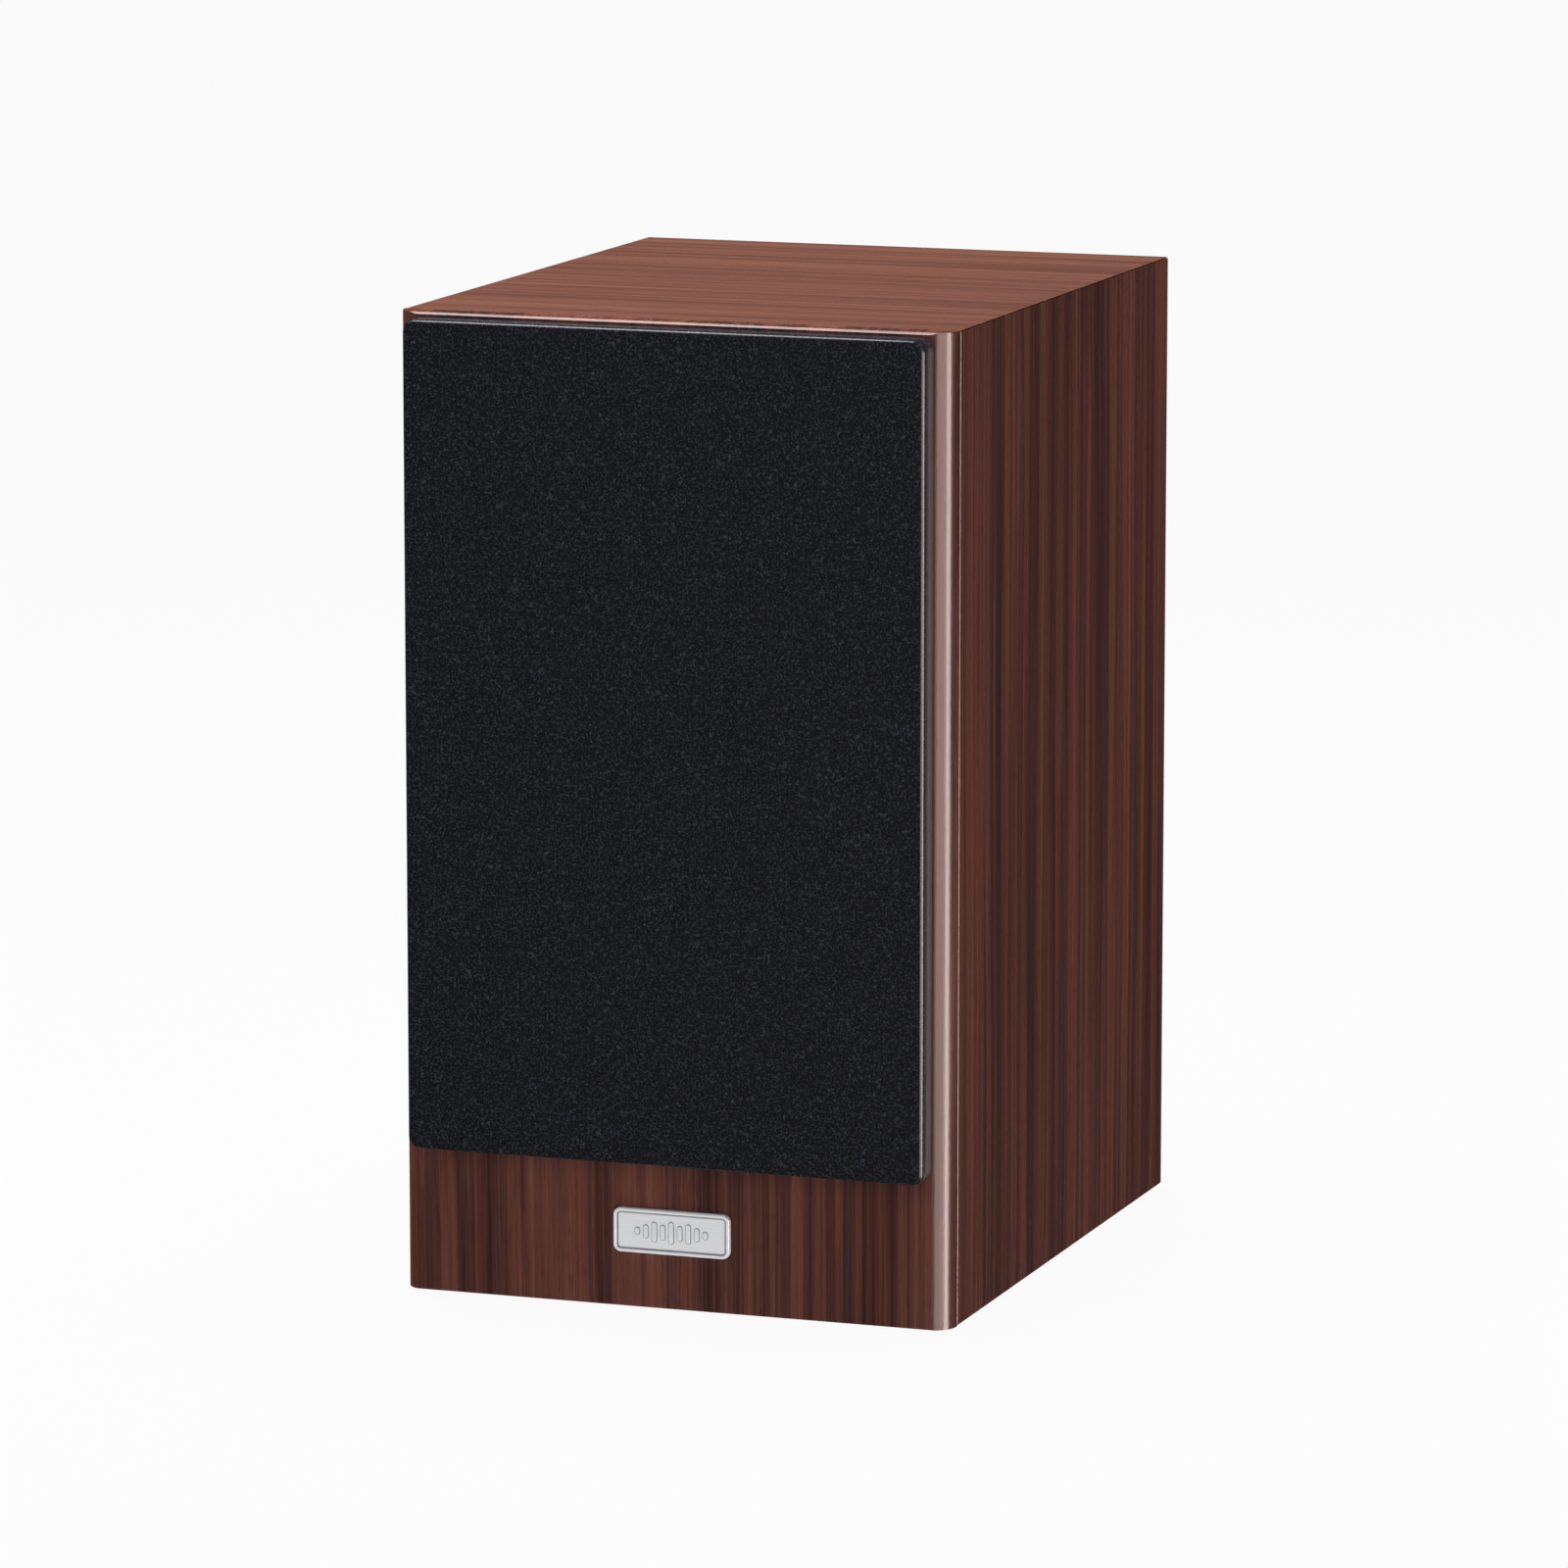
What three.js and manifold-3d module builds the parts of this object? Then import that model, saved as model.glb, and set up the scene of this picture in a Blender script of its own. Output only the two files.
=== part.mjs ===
// A two-way bass-reflex bookshelf speaker in a foil-wrapped MDF cabinet, with a pull-off fabric grille.
// Millimetres, +Z up. The front faces -Y. The part's origin is the centre of its footprint, under the feet.
// Every piece is drawn in the cabinet's frame: x = 0 in the middle, y = 0 on the baffle's face, and z = 0
// under the cabinet.
import * as THREE from "three";
import { mergeVertices } from "three/addons/utils/BufferGeometryUtils.js";
import Module from "manifold-3d";

const wasm = await Module();
wasm.setup();

// ---------------------------------------------------------------- driving dimensions

const GAP = 0.3; // between pieces that touch
const RUNNING = 0.5; // between a pin or thread and its hole
const CABINET = { width: 193, height: 330, depth: 240, wall: 15 };
const BAFFLE = { lip: 9, thickness: 18, edgeRadius: 8, chamfer: 0.7 };
const PANEL_CHAMFER = 0.5; // on the front edge of the wrapped panels
const REAR = { thickness: 15, inset: 5 };
const FOOT = { radius: 7, height: 1.5, inset: 17 };
const GRILLE = {
  sideMargin: 6,
  topMargin: 1.4,
  bottom: 50.5,
  proud: 9.8,
  clothThickness: 0.6,
  cornerRadius: 4,
  edgeRadius: 2,
  border: 8,
  gusset: 30,
  barWidth: 5,
  barDepth: 4,
};
const PEG = { radius: 3.4, tip: 2, taper: 2, length: 9, fromWall: 8, fromGrilleFoot: 21 };
const SOCKET = { wall: 1.6, floor: 1.5, flange: 1, flangeOverhang: 1.9, depth: 11.5 };
const BADGE = {
  width: 41,
  height: 15,
  thickness: 2,
  recess: 0.6,
  cornerRadius: 2,
  rim: 1.4,
  field: 0.5,
  centreZ: 26.3,
};
const LEVEL_BARS = {
  heights: [2.4, 4.4, 6.6, 5, 7.4, 5, 6.6, 4.4, 2.4],
  pitch: 3,
  width: 1.5,
  below: 0.1,
  rooted: 0.2,
};
const WOOFER = {
  centreZ: 141,
  flangeRadius: 80,
  flangeThickness: 2.5,
  seatRadius: 72,
  seatDepth: 4.3,
  sheet: 1.6,
  neckRadius: 46,
  depth: 52,
  screwCircle: 76.4,
  mouth: 63,
  backBore: 20.4,
  windows: 6,
  windowWidth: 30,
  windowCircle: 60,
};
const CONE = { radius: 57, depth: 31, front: 4.6, paper: 1 };
const DUST_CAP = { radius: 21, rise: 7.5, paper: 0.8, lift: 0.4 };
const SURROUND = { roll: 4.4, rubber: 0.9, lip: 2.6, fromCone: 0.6, glueLine: 0.2 };
const SPIDER = { creases: 7, creaseHeight: 1.4, cloth: 0.8, fromBack: 7, fromNeck: 1.5 };
const COIL = { radius: 13.4, wall: 0.8, length: 22, inNeck: 2 };
const WOOFER_MOTOR = {
  plate: 6,
  magnet: 14.5,
  magnetRadius: 45,
  magnetBore: 21.4,
  plateRadius: 40,
  backPlate: 6,
  vent: 4,
};
const TWEETER = {
  centreZ: 271,
  radius: 47,
  thickness: 3.2,
  hornRadius: 36,
  throatRadius: 17.5,
  throatDepth: 4.2,
  screwCircle: 42,
  throatWall: 1,
  seatRim: 8,
  dome: 12.4,
  domeHeight: 4.6,
  domeSunk: 0.6,
  silk: 0.5,
  lipGap: 0.4,
  roll: 1.6,
  rollFromDome: 2.6,
  lip: 5,
  former: 0.6,
  formerLength: 6,
};
const TWEETER_MOTOR = {
  plate: 4,
  magnet: 8,
  backPlate: 4,
  radius: 33,
  magnetRadius: 31,
  backRadius: 30,
  magnetBore: 17,
};
const GASKET = 1;
const SCREW = {
  head: 3.5,
  crown: 2.6,
  headHeight: 1.6,
  rim: 0.8,
  shank: 1.6,
  length: 15,
  tip: 3,
  socket: 1.6,
  socketDepth: 1,
};
const PORT = {
  centreZ: 262,
  radius: 25,
  wall: 2.4,
  mouth: 33,
  flange: 38,
  flangeThickness: 2.2,
  flangeRound: 0.8,
  length: 108,
  innerMouth: 30,
  innerFlare: 2.6,
};
const TERMINAL = {
  centreZ: 92,
  width: 94,
  height: 70,
  flange: 2.2,
  pocketWidth: 76,
  pocketHeight: 52,
  pocketDepth: 27,
  wall: 2,
  cornerRadius: 8,
  screwInset: 5,
};
const POST = {
  spacing: 28,
  stud: 3.5,
  collar: 7,
  collarHeight: 3,
  banana: 2.05,
  bananaDepth: 14,
  inside: 12,
  past: 0.6,
};
const KNOB = { radius: 7.6, length: 17, flutes: 18, fluteDepth: 0.7, washer: 1, washerRadius: 6.6 };
const BRACE = { thickness: 12, centreZ: 219, rim: 26, cornerRadius: 18 };
const BOARD = { width: 110, depth: 84, thickness: 1.6, standoff: 4, centreY: 160, foot: 3, footInset: 6 };
const WOOFER_INDUCTOR = { x: -28, fromCentre: -12, inner: 9, outer: 21, height: 20 };
const TWEETER_INDUCTOR = { x: 30, fromCentre: -20, inner: 6, outer: 14, height: 13 };
const CAPACITOR = { x: 24, fromCentre: 24, radius: 9, length: 38 };
const WADDING = { fromMotor: 22, fromCup: 14, aboveCup: 4, underBrace: 6, cornerRadius: 14 };
const LEAD = { radius: 1.5, sides: 6, steps: 16 };

const ROUND = 40; // segments of a large circle
const HIDDEN = 20; // segments of a circle nobody sees
const SMALL = 12; // segments of a small one

// ---------------------------------------------------------------- worked-out sizes

const half = CABINET.width / 2;
const inside = half - CABINET.wall; // half the carcass opening
const rearFace = CABINET.depth - REAR.inset;
const grilleTop = CABINET.height - GRILLE.topMargin;
const grilleWidth = CABINET.width - 2 * GRILLE.sideMargin;
const grilleHeight = grilleTop - GRILLE.bottom;
const grilleCentreZ = GRILLE.bottom + grilleHeight / 2;
const flangeFront = GAP; // the drivers sit a hair below the baffle's face
const wooferRecess = flangeFront + WOOFER.flangeThickness + GAP + GASKET + GAP;
const tweeterRecess = flangeFront + TWEETER.thickness + GAP;
const wooferHole = WOOFER.seatRadius + 2 * GAP;
const pegX = inside - PEG.fromWall;
const pegTop = CABINET.height - CABINET.wall - PEG.fromWall;
const pegBottom = GRILLE.bottom + PEG.fromGrilleFoot;
const socketBore = PEG.radius + RUNNING;
const socketRadius = socketBore + SOCKET.wall;

// ---------------------------------------------------------------- materials

const finish = (color, roughness, metalness = 0) =>
  new THREE.MeshStandardMaterial({ color, roughness, metalness });
const MATERIALS = {
  walnutFoil: finish(0x55302a, 0.45),
  rawBoard: finish(0x9c7a55, 0.9),
  blackCloth: finish(0x17181a, 0.95),
  blackPlastic: finish(0x1c1c1e, 0.5),
  rubber: finish(0x121212, 0.8),
  satinMetal: finish(0xd3d6d9, 0.35, 0.9),
  blackSteel: finish(0x222225, 0.45, 0.6),
  plainSteel: finish(0x9fa3a6, 0.4, 0.9),
  ferrite: finish(0x3c3b3d, 0.7),
  conePaper: finish(0x232427, 0.75),
  coilFormer: finish(0xa5602f, 0.4, 0.5),
  copper: finish(0xb3673a, 0.35, 0.9),
  silk: finish(0x2a2b30, 0.6),
  gold: finish(0xc9a24e, 0.3, 0.95),
  redPlastic: finish(0xa41d1d, 0.4),
  board: finish(0x2f5a3c, 0.6),
  film: finish(0xc7b23a, 0.5),
  wadding: finish(0xe6e6e2, 0.95),
  spider: finish(0xc4a25a, 0.85),
};

// ---------------------------------------------------------------- shape helpers

// A closed three.js geometry as a solid that can be cut and joined.
function toSolid(geometry) {
  const bare = geometry.clone();
  bare.deleteAttribute("normal");
  bare.deleteAttribute("uv");
  const merged = mergeVertices(bare, 1e-4);
  return new wasm.Manifold(
    new wasm.Mesh({
      numProp: 3,
      vertProperties: merged.attributes.position.array,
      triVerts: new Uint32Array(merged.index.array),
    }),
  );
}

function toGeometry(solid) {
  const mesh = solid.getMesh();
  return new THREE.BufferGeometry()
    .setAttribute("position", new THREE.BufferAttribute(mesh.vertProperties, 3))
    .setIndex(new THREE.BufferAttribute(mesh.triVerts, 1));
}

const cut = (body, tools) =>
  toGeometry(tools.reduce((solid, tool) => solid.subtract(toSolid(tool)), toSolid(body)));

const join = (body, others) =>
  toGeometry(others.reduce((solid, other) => solid.add(toSolid(other)), toSolid(body)));

const common = (body, other) => toGeometry(toSolid(body).intersect(toSolid(other)));

// An outline seen from the front, with its x and z, filled from one depth to a greater one.
function plate(shape, front, back, curveSegments = 3) {
  return new THREE.ExtrudeGeometry(shape, { depth: back - front, bevelEnabled: false, curveSegments })
    .rotateX(Math.PI / 2)
    .translate(0, back, 0);
}

// An outline seen from above, with its x and y, filled from one height to a greater one.
function column(shape, bottom, top, curveSegments = 6) {
  return new THREE.ExtrudeGeometry(shape, { depth: top - bottom, bevelEnabled: false, curveSegments })
    .translate(0, 0, bottom);
}

// An outline seen from the side, with its y and z, filled across the width.
function beam(shape, left, right, curveSegments = 6) {
  const turn = new THREE.Matrix4().makeBasis(
    new THREE.Vector3(0, 1, 0),
    new THREE.Vector3(0, 0, 1),
    new THREE.Vector3(1, 0, 0),
  );
  return new THREE.ExtrudeGeometry(shape, { depth: right - left, bevelEnabled: false, curveSegments })
    .applyMatrix4(turn)
    .translate(left, 0, 0);
}

const polygon = (points) => new THREE.Shape(points.map(([a, b]) => new THREE.Vector2(a, b)));

function roundedRect(width, height, radius, centreX = 0, centreZ = 0) {
  const a = width / 2 - radius;
  const b = height / 2 - radius;
  const shape = new THREE.Shape();
  shape.absarc(centreX + a, centreZ + b, radius, 0, Math.PI / 2);
  shape.absarc(centreX - a, centreZ + b, radius, Math.PI / 2, Math.PI);
  shape.absarc(centreX - a, centreZ - b, radius, Math.PI, 1.5 * Math.PI);
  shape.absarc(centreX + a, centreZ - b, radius, 1.5 * Math.PI, 2 * Math.PI);
  shape.closePath();
  return shape;
}

// A body turned about a front-to-back axis. The profile is a list of [radius, depth] that closes on itself,
// or starts and ends on the axis.
function turned(profile, centreX, centreZ, segments = ROUND) {
  const points = profile.map(([radius, y]) => new THREE.Vector2(radius, y));
  const first = points[0];
  const last = points[points.length - 1];
  if (THREE.ShapeUtils.area(points) < 0) points.reverse();
  if (first.x > 0 || last.x > 0) points.push(points[0].clone());
  return new THREE.LatheGeometry(points, segments).translate(centreX, 0, centreZ);
}

const ring = (inner, outer, front, back, centreX, centreZ, segments = ROUND) =>
  turned([[inner, front], [outer, front], [outer, back], [inner, back]], centreX, centreZ, segments);

const disc = (radius, front, back, centreX, centreZ, segments = ROUND) =>
  turned([[0, front], [radius, front], [radius, back], [0, back]], centreX, centreZ, segments);

const box = (low, high) =>
  new THREE.BoxGeometry(high[0] - low[0], high[1] - low[1], high[2] - low[2]).translate(
    (low[0] + high[0]) / 2,
    (low[1] + high[1]) / 2,
    (low[2] + high[2]) / 2,
  );

// Points on an arc in a [radius, depth] profile, angles in degrees.
function arc(centreRadius, centreDepth, radius, from, to, count) {
  return Array.from({ length: count + 1 }, (_, i) => {
    const angle = THREE.MathUtils.degToRad(from + ((to - from) * i) / count);
    return [centreRadius + radius * Math.cos(angle), centreDepth + radius * Math.sin(angle)];
  });
}

// count places on a circle, as [x, z], the first at startDegrees.
function circlePlaces(count, radius, centreX, centreZ, startDegrees) {
  return Array.from({ length: count }, (_, i) => {
    const angle = THREE.MathUtils.degToRad(startDegrees + (360 * i) / count);
    return [centreX + radius * Math.cos(angle), centreZ + radius * Math.sin(angle)];
  });
}

const corners = (x, z) => [[-x, z], [x, z], [-x, -z], [x, -z]];

// ---------------------------------------------------------------- assembly

const pieces = new THREE.Group();

function add(name, geometry, material) {
  const mesh = new THREE.Mesh(geometry, material);
  mesh.name = name;
  pieces.add(mesh);
}

const wooferScrews = circlePlaces(4, WOOFER.screwCircle, 0, WOOFER.centreZ, 45);
const tweeterScrews = circlePlaces(3, TWEETER.screwCircle, 0, TWEETER.centreZ, -90);
const pegPlaces = [[-pegX, pegTop], [pegX, pegTop], [-pegX, pegBottom], [pegX, pegBottom]];
const cornerNames = ["top_left", "top_right", "bottom_left", "bottom_right"];

// Cabinet: four wrapped panels, mitred where they meet.

const mitre = (GAP / 2) * Math.SQRT2;
const panelFront = BAFFLE.lip + GAP;

// The trapezoid of one panel, as seen from the front, lying along the top edge of a frame of this half width.
function mitredShape(halfLength, outer) {
  const end = halfLength - mitre;
  const inner = end - CABINET.wall;
  return [[-end, outer], [-inner, outer - CABINET.wall], [inner, outer - CABINET.wall], [end, outer]];
}

// Takes the front outer edge off a panel whose outer face is at the top.
function edgeCut(halfLength, outer) {
  const c = PANEL_CHAMFER;
  const corner = polygon([
    [panelFront - 1, outer - c - 1],
    [panelFront + c + 1, outer + 1],
    [panelFront - 1, outer + 1],
  ]);
  return beam(corner, -halfLength, halfLength);
}

function wrappedPanel(halfLength, outer) {
  const board = plate(polygon(mitredShape(halfLength, outer)), panelFront, CABINET.depth);
  return cut(board, [edgeCut(halfLength + 1, outer)]);
}

const middleZ = CABINET.height / 2;
const lidPanel = wrappedPanel(half, middleZ);
const sidePanel = wrappedPanel(middleZ, half);
const lift = (geometry) => geometry.translate(0, 0, middleZ);
add("top_panel", lift(lidPanel.clone()), MATERIALS.walnutFoil);
add("bottom_panel", lift(lidPanel.clone().rotateY(Math.PI)), MATERIALS.walnutFoil);
add("right_side_panel", lift(sidePanel.clone().rotateY(Math.PI / 2)), MATERIALS.walnutFoil);
add("left_side_panel", lift(sidePanel.clone().rotateY(-Math.PI / 2)), MATERIALS.walnutFoil);

// Front baffle: full-size face with rounded upright edges, and a plug that drops into the carcass.

function baffle() {
  const r = BAFFLE.edgeRadius;
  const plan = new THREE.Shape();
  plan.moveTo(-half, BAFFLE.lip);
  plan.lineTo(-half, r);
  plan.absarc(-half + r, r, r, Math.PI, 1.5 * Math.PI);
  plan.absarc(half - r, r, r, 1.5 * Math.PI, 2 * Math.PI);
  plan.lineTo(half, BAFFLE.lip);
  plan.closePath();
  const c = BAFFLE.chamfer;
  const side = polygon([
    [0, c], [c, 0], [BAFFLE.lip, 0],
    [BAFFLE.lip, CABINET.height], [c, CABINET.height], [0, CABINET.height - c],
  ]);
  const face = common(column(plan, 0, CABINET.height, 8), beam(side, -half, half));
  const plugX = inside - GAP;
  const plugZ = CABINET.wall + GAP;
  const plug = box([-plugX, BAFFLE.lip - 1, plugZ], [plugX, BAFFLE.thickness, CABINET.height - plugZ]);
  const through = BAFFLE.thickness + 1;
  return cut(join(face, [plug]), [
    disc(WOOFER.flangeRadius + GAP, -1, wooferRecess, 0, WOOFER.centreZ),
    disc(wooferHole, -1, through, 0, WOOFER.centreZ),
    disc(TWEETER.radius + GAP, -1, tweeterRecess, 0, TWEETER.centreZ),
    disc(TWEETER.hornRadius + 2 * GAP, -1, through, 0, TWEETER.centreZ),
    plate(
      roundedRect(BADGE.width + 2 * GAP, BADGE.height + 2 * GAP, BADGE.cornerRadius + GAP, 0, BADGE.centreZ),
      -1,
      BADGE.recess,
    ),
    ...pegPlaces.map(([x, z]) => disc(socketRadius + GAP, -1, through, x, z, SMALL)),
    ...pegPlaces.map(([x, z]) =>
      disc(socketRadius + SOCKET.flangeOverhang + GAP, -1, SOCKET.flange + GAP, x, z, SMALL)),
    ...[...wooferScrews, ...tweeterScrews].map(([x, z]) => disc(SCREW.shank + GAP, -1, through, x, z, 6)),
  ]);
}
add("front_baffle", baffle(), MATERIALS.walnutFoil);

// Rear panel: set in between the wrapped panels.

const postPlaces = [[-POST.spacing / 2, TERMINAL.centreZ], [POST.spacing / 2, TERMINAL.centreZ]];
const terminalScrews = corners(
  TERMINAL.width / 2 - TERMINAL.screwInset,
  TERMINAL.height / 2 - TERMINAL.screwInset,
).map(([x, z]) => [x, TERMINAL.centreZ + z]);

function rearPanel() {
  const x = inside - GAP;
  const z = CABINET.wall + GAP;
  const panel = box([-x, rearFace - REAR.thickness, z], [x, rearFace, CABINET.height - z]);
  const far = rearFace + 1;
  const near = rearFace - REAR.thickness - 1;
  const pocket = roundedRect(
    TERMINAL.pocketWidth + 2 * (TERMINAL.wall + GAP),
    TERMINAL.pocketHeight + 2 * (TERMINAL.wall + GAP),
    TERMINAL.cornerRadius,
    0,
    TERMINAL.centreZ,
  );
  return cut(panel, [
    disc(PORT.mouth + 2 * GAP, near, far, 0, PORT.centreZ),
    plate(pocket, near, far),
    ...terminalScrews.map(([sx, sz]) => disc(SCREW.shank + GAP, near, far, sx, sz, 6)),
  ]);
}
add("rear_panel", rearPanel(), MATERIALS.blackPlastic);

// Brace: a window frame across the cabinet, between the two drivers.

function brace() {
  const x = inside - GAP;
  const front = BAFFLE.thickness + GAP;
  const back = rearFace - REAR.thickness - GAP;
  const middle = (front + back) / 2;
  const outline = polygon([[-x, front], [x, front], [x, back], [-x, back]]);
  const windowDepth = back - front - 2 * BRACE.rim;
  const window = roundedRect(2 * (x - BRACE.rim), windowDepth, BRACE.cornerRadius, 0, middle);
  outline.holes.push(window);
  return column(outline, BRACE.centreZ - BRACE.thickness / 2, BRACE.centreZ + BRACE.thickness / 2);
}
add("cabinet_brace", brace(), MATERIALS.rawBoard);

// Feet: stick-on rubber pads under the bottom panel.

const footX = half - FOOT.inset;
const footFront = panelFront + FOOT.inset - FOOT.radius;
const footBack = CABINET.depth - FOOT.inset;
const footPlaces = {
  rubber_foot_front_left: [-footX, footFront],
  rubber_foot_front_right: [footX, footFront],
  rubber_foot_back_left: [-footX, footBack],
  rubber_foot_back_right: [footX, footBack],
};
for (const [name, [x, y]] of Object.entries(footPlaces)) {
  const pad = new THREE.CylinderGeometry(FOOT.radius, FOOT.radius - GAP, FOOT.height - GAP, HIDDEN)
    .rotateX(Math.PI / 2)
    .translate(x, y, -GAP - (FOOT.height - GAP) / 2);
  add(name, pad, MATERIALS.rubber);
}

// Badge: a plain plate with a raised rim and a row of level bars, set in a shallow recess.

function badge() {
  const back = BADGE.recess - GAP;
  const front = back - BADGE.thickness;
  const outline = (inset) =>
    roundedRect(
      BADGE.width - 2 * inset,
      BADGE.height - 2 * inset,
      BADGE.cornerRadius - inset / 2,
      0,
      BADGE.centreZ,
    );
  const field = plate(outline(BADGE.rim), front - 1, front + BADGE.field, 4);
  const tray = cut(plate(outline(0), front, back, 4), [field]);
  const { heights, pitch, width, below, rooted } = LEVEL_BARS;
  const bars = heights.map((height, i) => {
    const x = (i - (heights.length - 1) / 2) * pitch;
    const low = [x - width / 2, front + below, BADGE.centreZ - height / 2];
    const high = [x + width / 2, front + BADGE.field + rooted, BADGE.centreZ + height / 2];
    return box(low, high);
  });
  return join(tray, bars);
}
add("badge_plate", badge(), MATERIALS.satinMetal);

// ---------------------------------------------------------------- grille

const clothFront = -GRILLE.proud;
const frameFront = clothFront + GRILLE.clothThickness + GAP;
const frameBack = -GAP;
const frameInset = GRILLE.clothThickness + GAP;

// A block with its front edges rounded over, as seen from the front.
function softBlock(inset, front, back) {
  const e = GRILLE.edgeRadius;
  const shape = roundedRect(
    grilleWidth - 2 * (inset + e),
    grilleHeight - 2 * (inset + e),
    GRILLE.cornerRadius - e,
    0,
    grilleCentreZ,
  );
  const rounded = new THREE.ExtrudeGeometry(shape, {
    depth: back - front,
    bevelThickness: e,
    bevelSize: e,
    bevelSegments: 2,
    curveSegments: 3,
  })
    .rotateX(Math.PI / 2)
    .translate(0, back + e, 0);
  const keep = box([-half, front - 1, 0], [half, back, CABINET.height]);
  return common(rounded, keep);
}

function grilleFrame() {
  const rim = softBlock(frameInset, frameFront, frameBack);
  const barZ = (WOOFER.centreZ + WOOFER.flangeRadius + TWEETER.centreZ - TWEETER.radius) / 2;
  const windowHalf = grilleWidth / 2 - frameInset - GRILLE.border;
  const low = GRILLE.bottom + frameInset + GRILLE.border;
  const high = grilleTop - frameInset - GRILLE.border;
  const g = GRILLE.gusset;
  const lower = polygon([
    [-windowHalf + g, low], [windowHalf - g, low], [windowHalf, low + g],
    [windowHalf, barZ - GRILLE.barWidth / 2], [-windowHalf, barZ - GRILLE.barWidth / 2],
    [-windowHalf, low + g],
  ]);
  const upper = polygon([
    [-windowHalf, barZ + GRILLE.barWidth / 2], [windowHalf, barZ + GRILLE.barWidth / 2],
    [windowHalf, high - g], [windowHalf - g, high], [-windowHalf + g, high], [-windowHalf, high - g],
  ]);
  const behindBar = box([-windowHalf, frameFront + GRILLE.barDepth, barZ - 4], [windowHalf, 1, barZ + 4]);
  const frame = cut(rim, [plate(lower, frameFront - 1, 1), plate(upper, frameFront - 1, 1), behindBar]);
  const pegs = pegPlaces.map(([x, z]) =>
    turned(
      [
        [0, frameBack - 1], [PEG.radius, frameBack - 1], [PEG.radius, PEG.length - PEG.taper],
        [PEG.tip, PEG.length], [0, PEG.length],
      ],
      x,
      z,
      SMALL,
    ));
  return join(frame, pegs);
}
add("grille_frame", grilleFrame(), MATERIALS.blackPlastic);

// The cloth is a tray stretched over the frame's front and sides.
const cloth = cut(softBlock(0, clothFront, frameBack - GAP), [
  softBlock(GRILLE.clothThickness, clothFront + GRILLE.clothThickness, frameBack + 1),
]);
add("grille_cloth", cloth, MATERIALS.blackCloth);

pegPlaces.forEach(([x, z], i) => {
  const rim = socketRadius + SOCKET.flangeOverhang;
  const floor = SOCKET.depth - SOCKET.floor;
  const socket = turned(
    [
      [0, floor], [socketBore, floor], [socketBore, 0], [rim, 0], [rim, SOCKET.flange],
      [socketRadius, SOCKET.flange], [socketRadius, SOCKET.depth], [0, SOCKET.depth],
    ],
    x,
    z,
    SMALL,
  );
  add("grille_socket_" + cornerNames[i], socket, MATERIALS.rubber);
});

// ---------------------------------------------------------------- woofer

function wooferBasket() {
  const s = WOOFER.sheet;
  const seat = flangeFront + WOOFER.seatDepth;
  const back = WOOFER.depth;
  const { mouth, backBore } = WOOFER;
  const shell = turned(
    [
      [WOOFER.flangeRadius, flangeFront],
      [WOOFER.flangeRadius, flangeFront + WOOFER.flangeThickness],
      [WOOFER.seatRadius, flangeFront + WOOFER.flangeThickness],
      [WOOFER.seatRadius, seat + s],
      [mouth + s, seat + s],
      [WOOFER.neckRadius + s + 1, back - 6],
      [WOOFER.neckRadius, back],
      [backBore, back],
      [backBore, back - s],
      [WOOFER.neckRadius - s, back - s],
      [WOOFER.neckRadius - 0.5, back - 6],
      [mouth - 0.5, seat],
      [WOOFER.seatRadius - s, seat],
      [WOOFER.seatRadius, flangeFront],
    ],
    0,
    WOOFER.centreZ,
  );
  const windows = circlePlaces(WOOFER.windows, WOOFER.windowCircle, 0, 0, 0).map(([x, z]) => {
    const opening = new THREE.BoxGeometry(40, back - 24, WOOFER.windowWidth).rotateY(-Math.atan2(z, x));
    return opening.translate(x, back / 2 + 3, z + WOOFER.centreZ);
  });
  const holes = wooferScrews.map(([x, z]) => disc(SCREW.shank + GAP, -1, seat + 3, x, z, 6));
  return cut(shell, [...windows, ...holes]);
}
add("woofer_basket", wooferBasket(), MATERIALS.blackSteel);

const gasketFront = flangeFront + WOOFER.flangeThickness + GAP;
const gasket = cut(
  ring(wooferHole, WOOFER.flangeRadius - GAP, gasketFront, gasketFront + GASKET, 0, WOOFER.centreZ),
  wooferScrews.map(([x, z]) => disc(SCREW.shank + GAP, 0, wooferRecess, x, z, 6)),
);
add("woofer_gasket", gasket, MATERIALS.rubber);

const coneNeck = COIL.radius + GAP;
const coneBack = CONE.front + CONE.depth;

// The cone's front surface at a radius: a shallow curve from the rim down to the neck.
function coneDepth(radius) {
  const share = (CONE.radius - radius) / (CONE.radius - coneNeck);
  return CONE.front + CONE.depth * (0.8 * share + 0.2 * share * share);
}
const coneRadii = Array.from({ length: 5 }, (_, i) => coneNeck + ((CONE.radius - coneNeck) * i) / 4);
add(
  "woofer_cone",
  turned(
    [
      ...coneRadii.map((radius) => [radius, coneDepth(radius)]),
      ...[...coneRadii].reverse().map((radius) => [radius, coneDepth(radius) + CONE.paper * 1.3]),
    ],
    0,
    WOOFER.centreZ,
  ),
  MATERIALS.conePaper,
);

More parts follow.
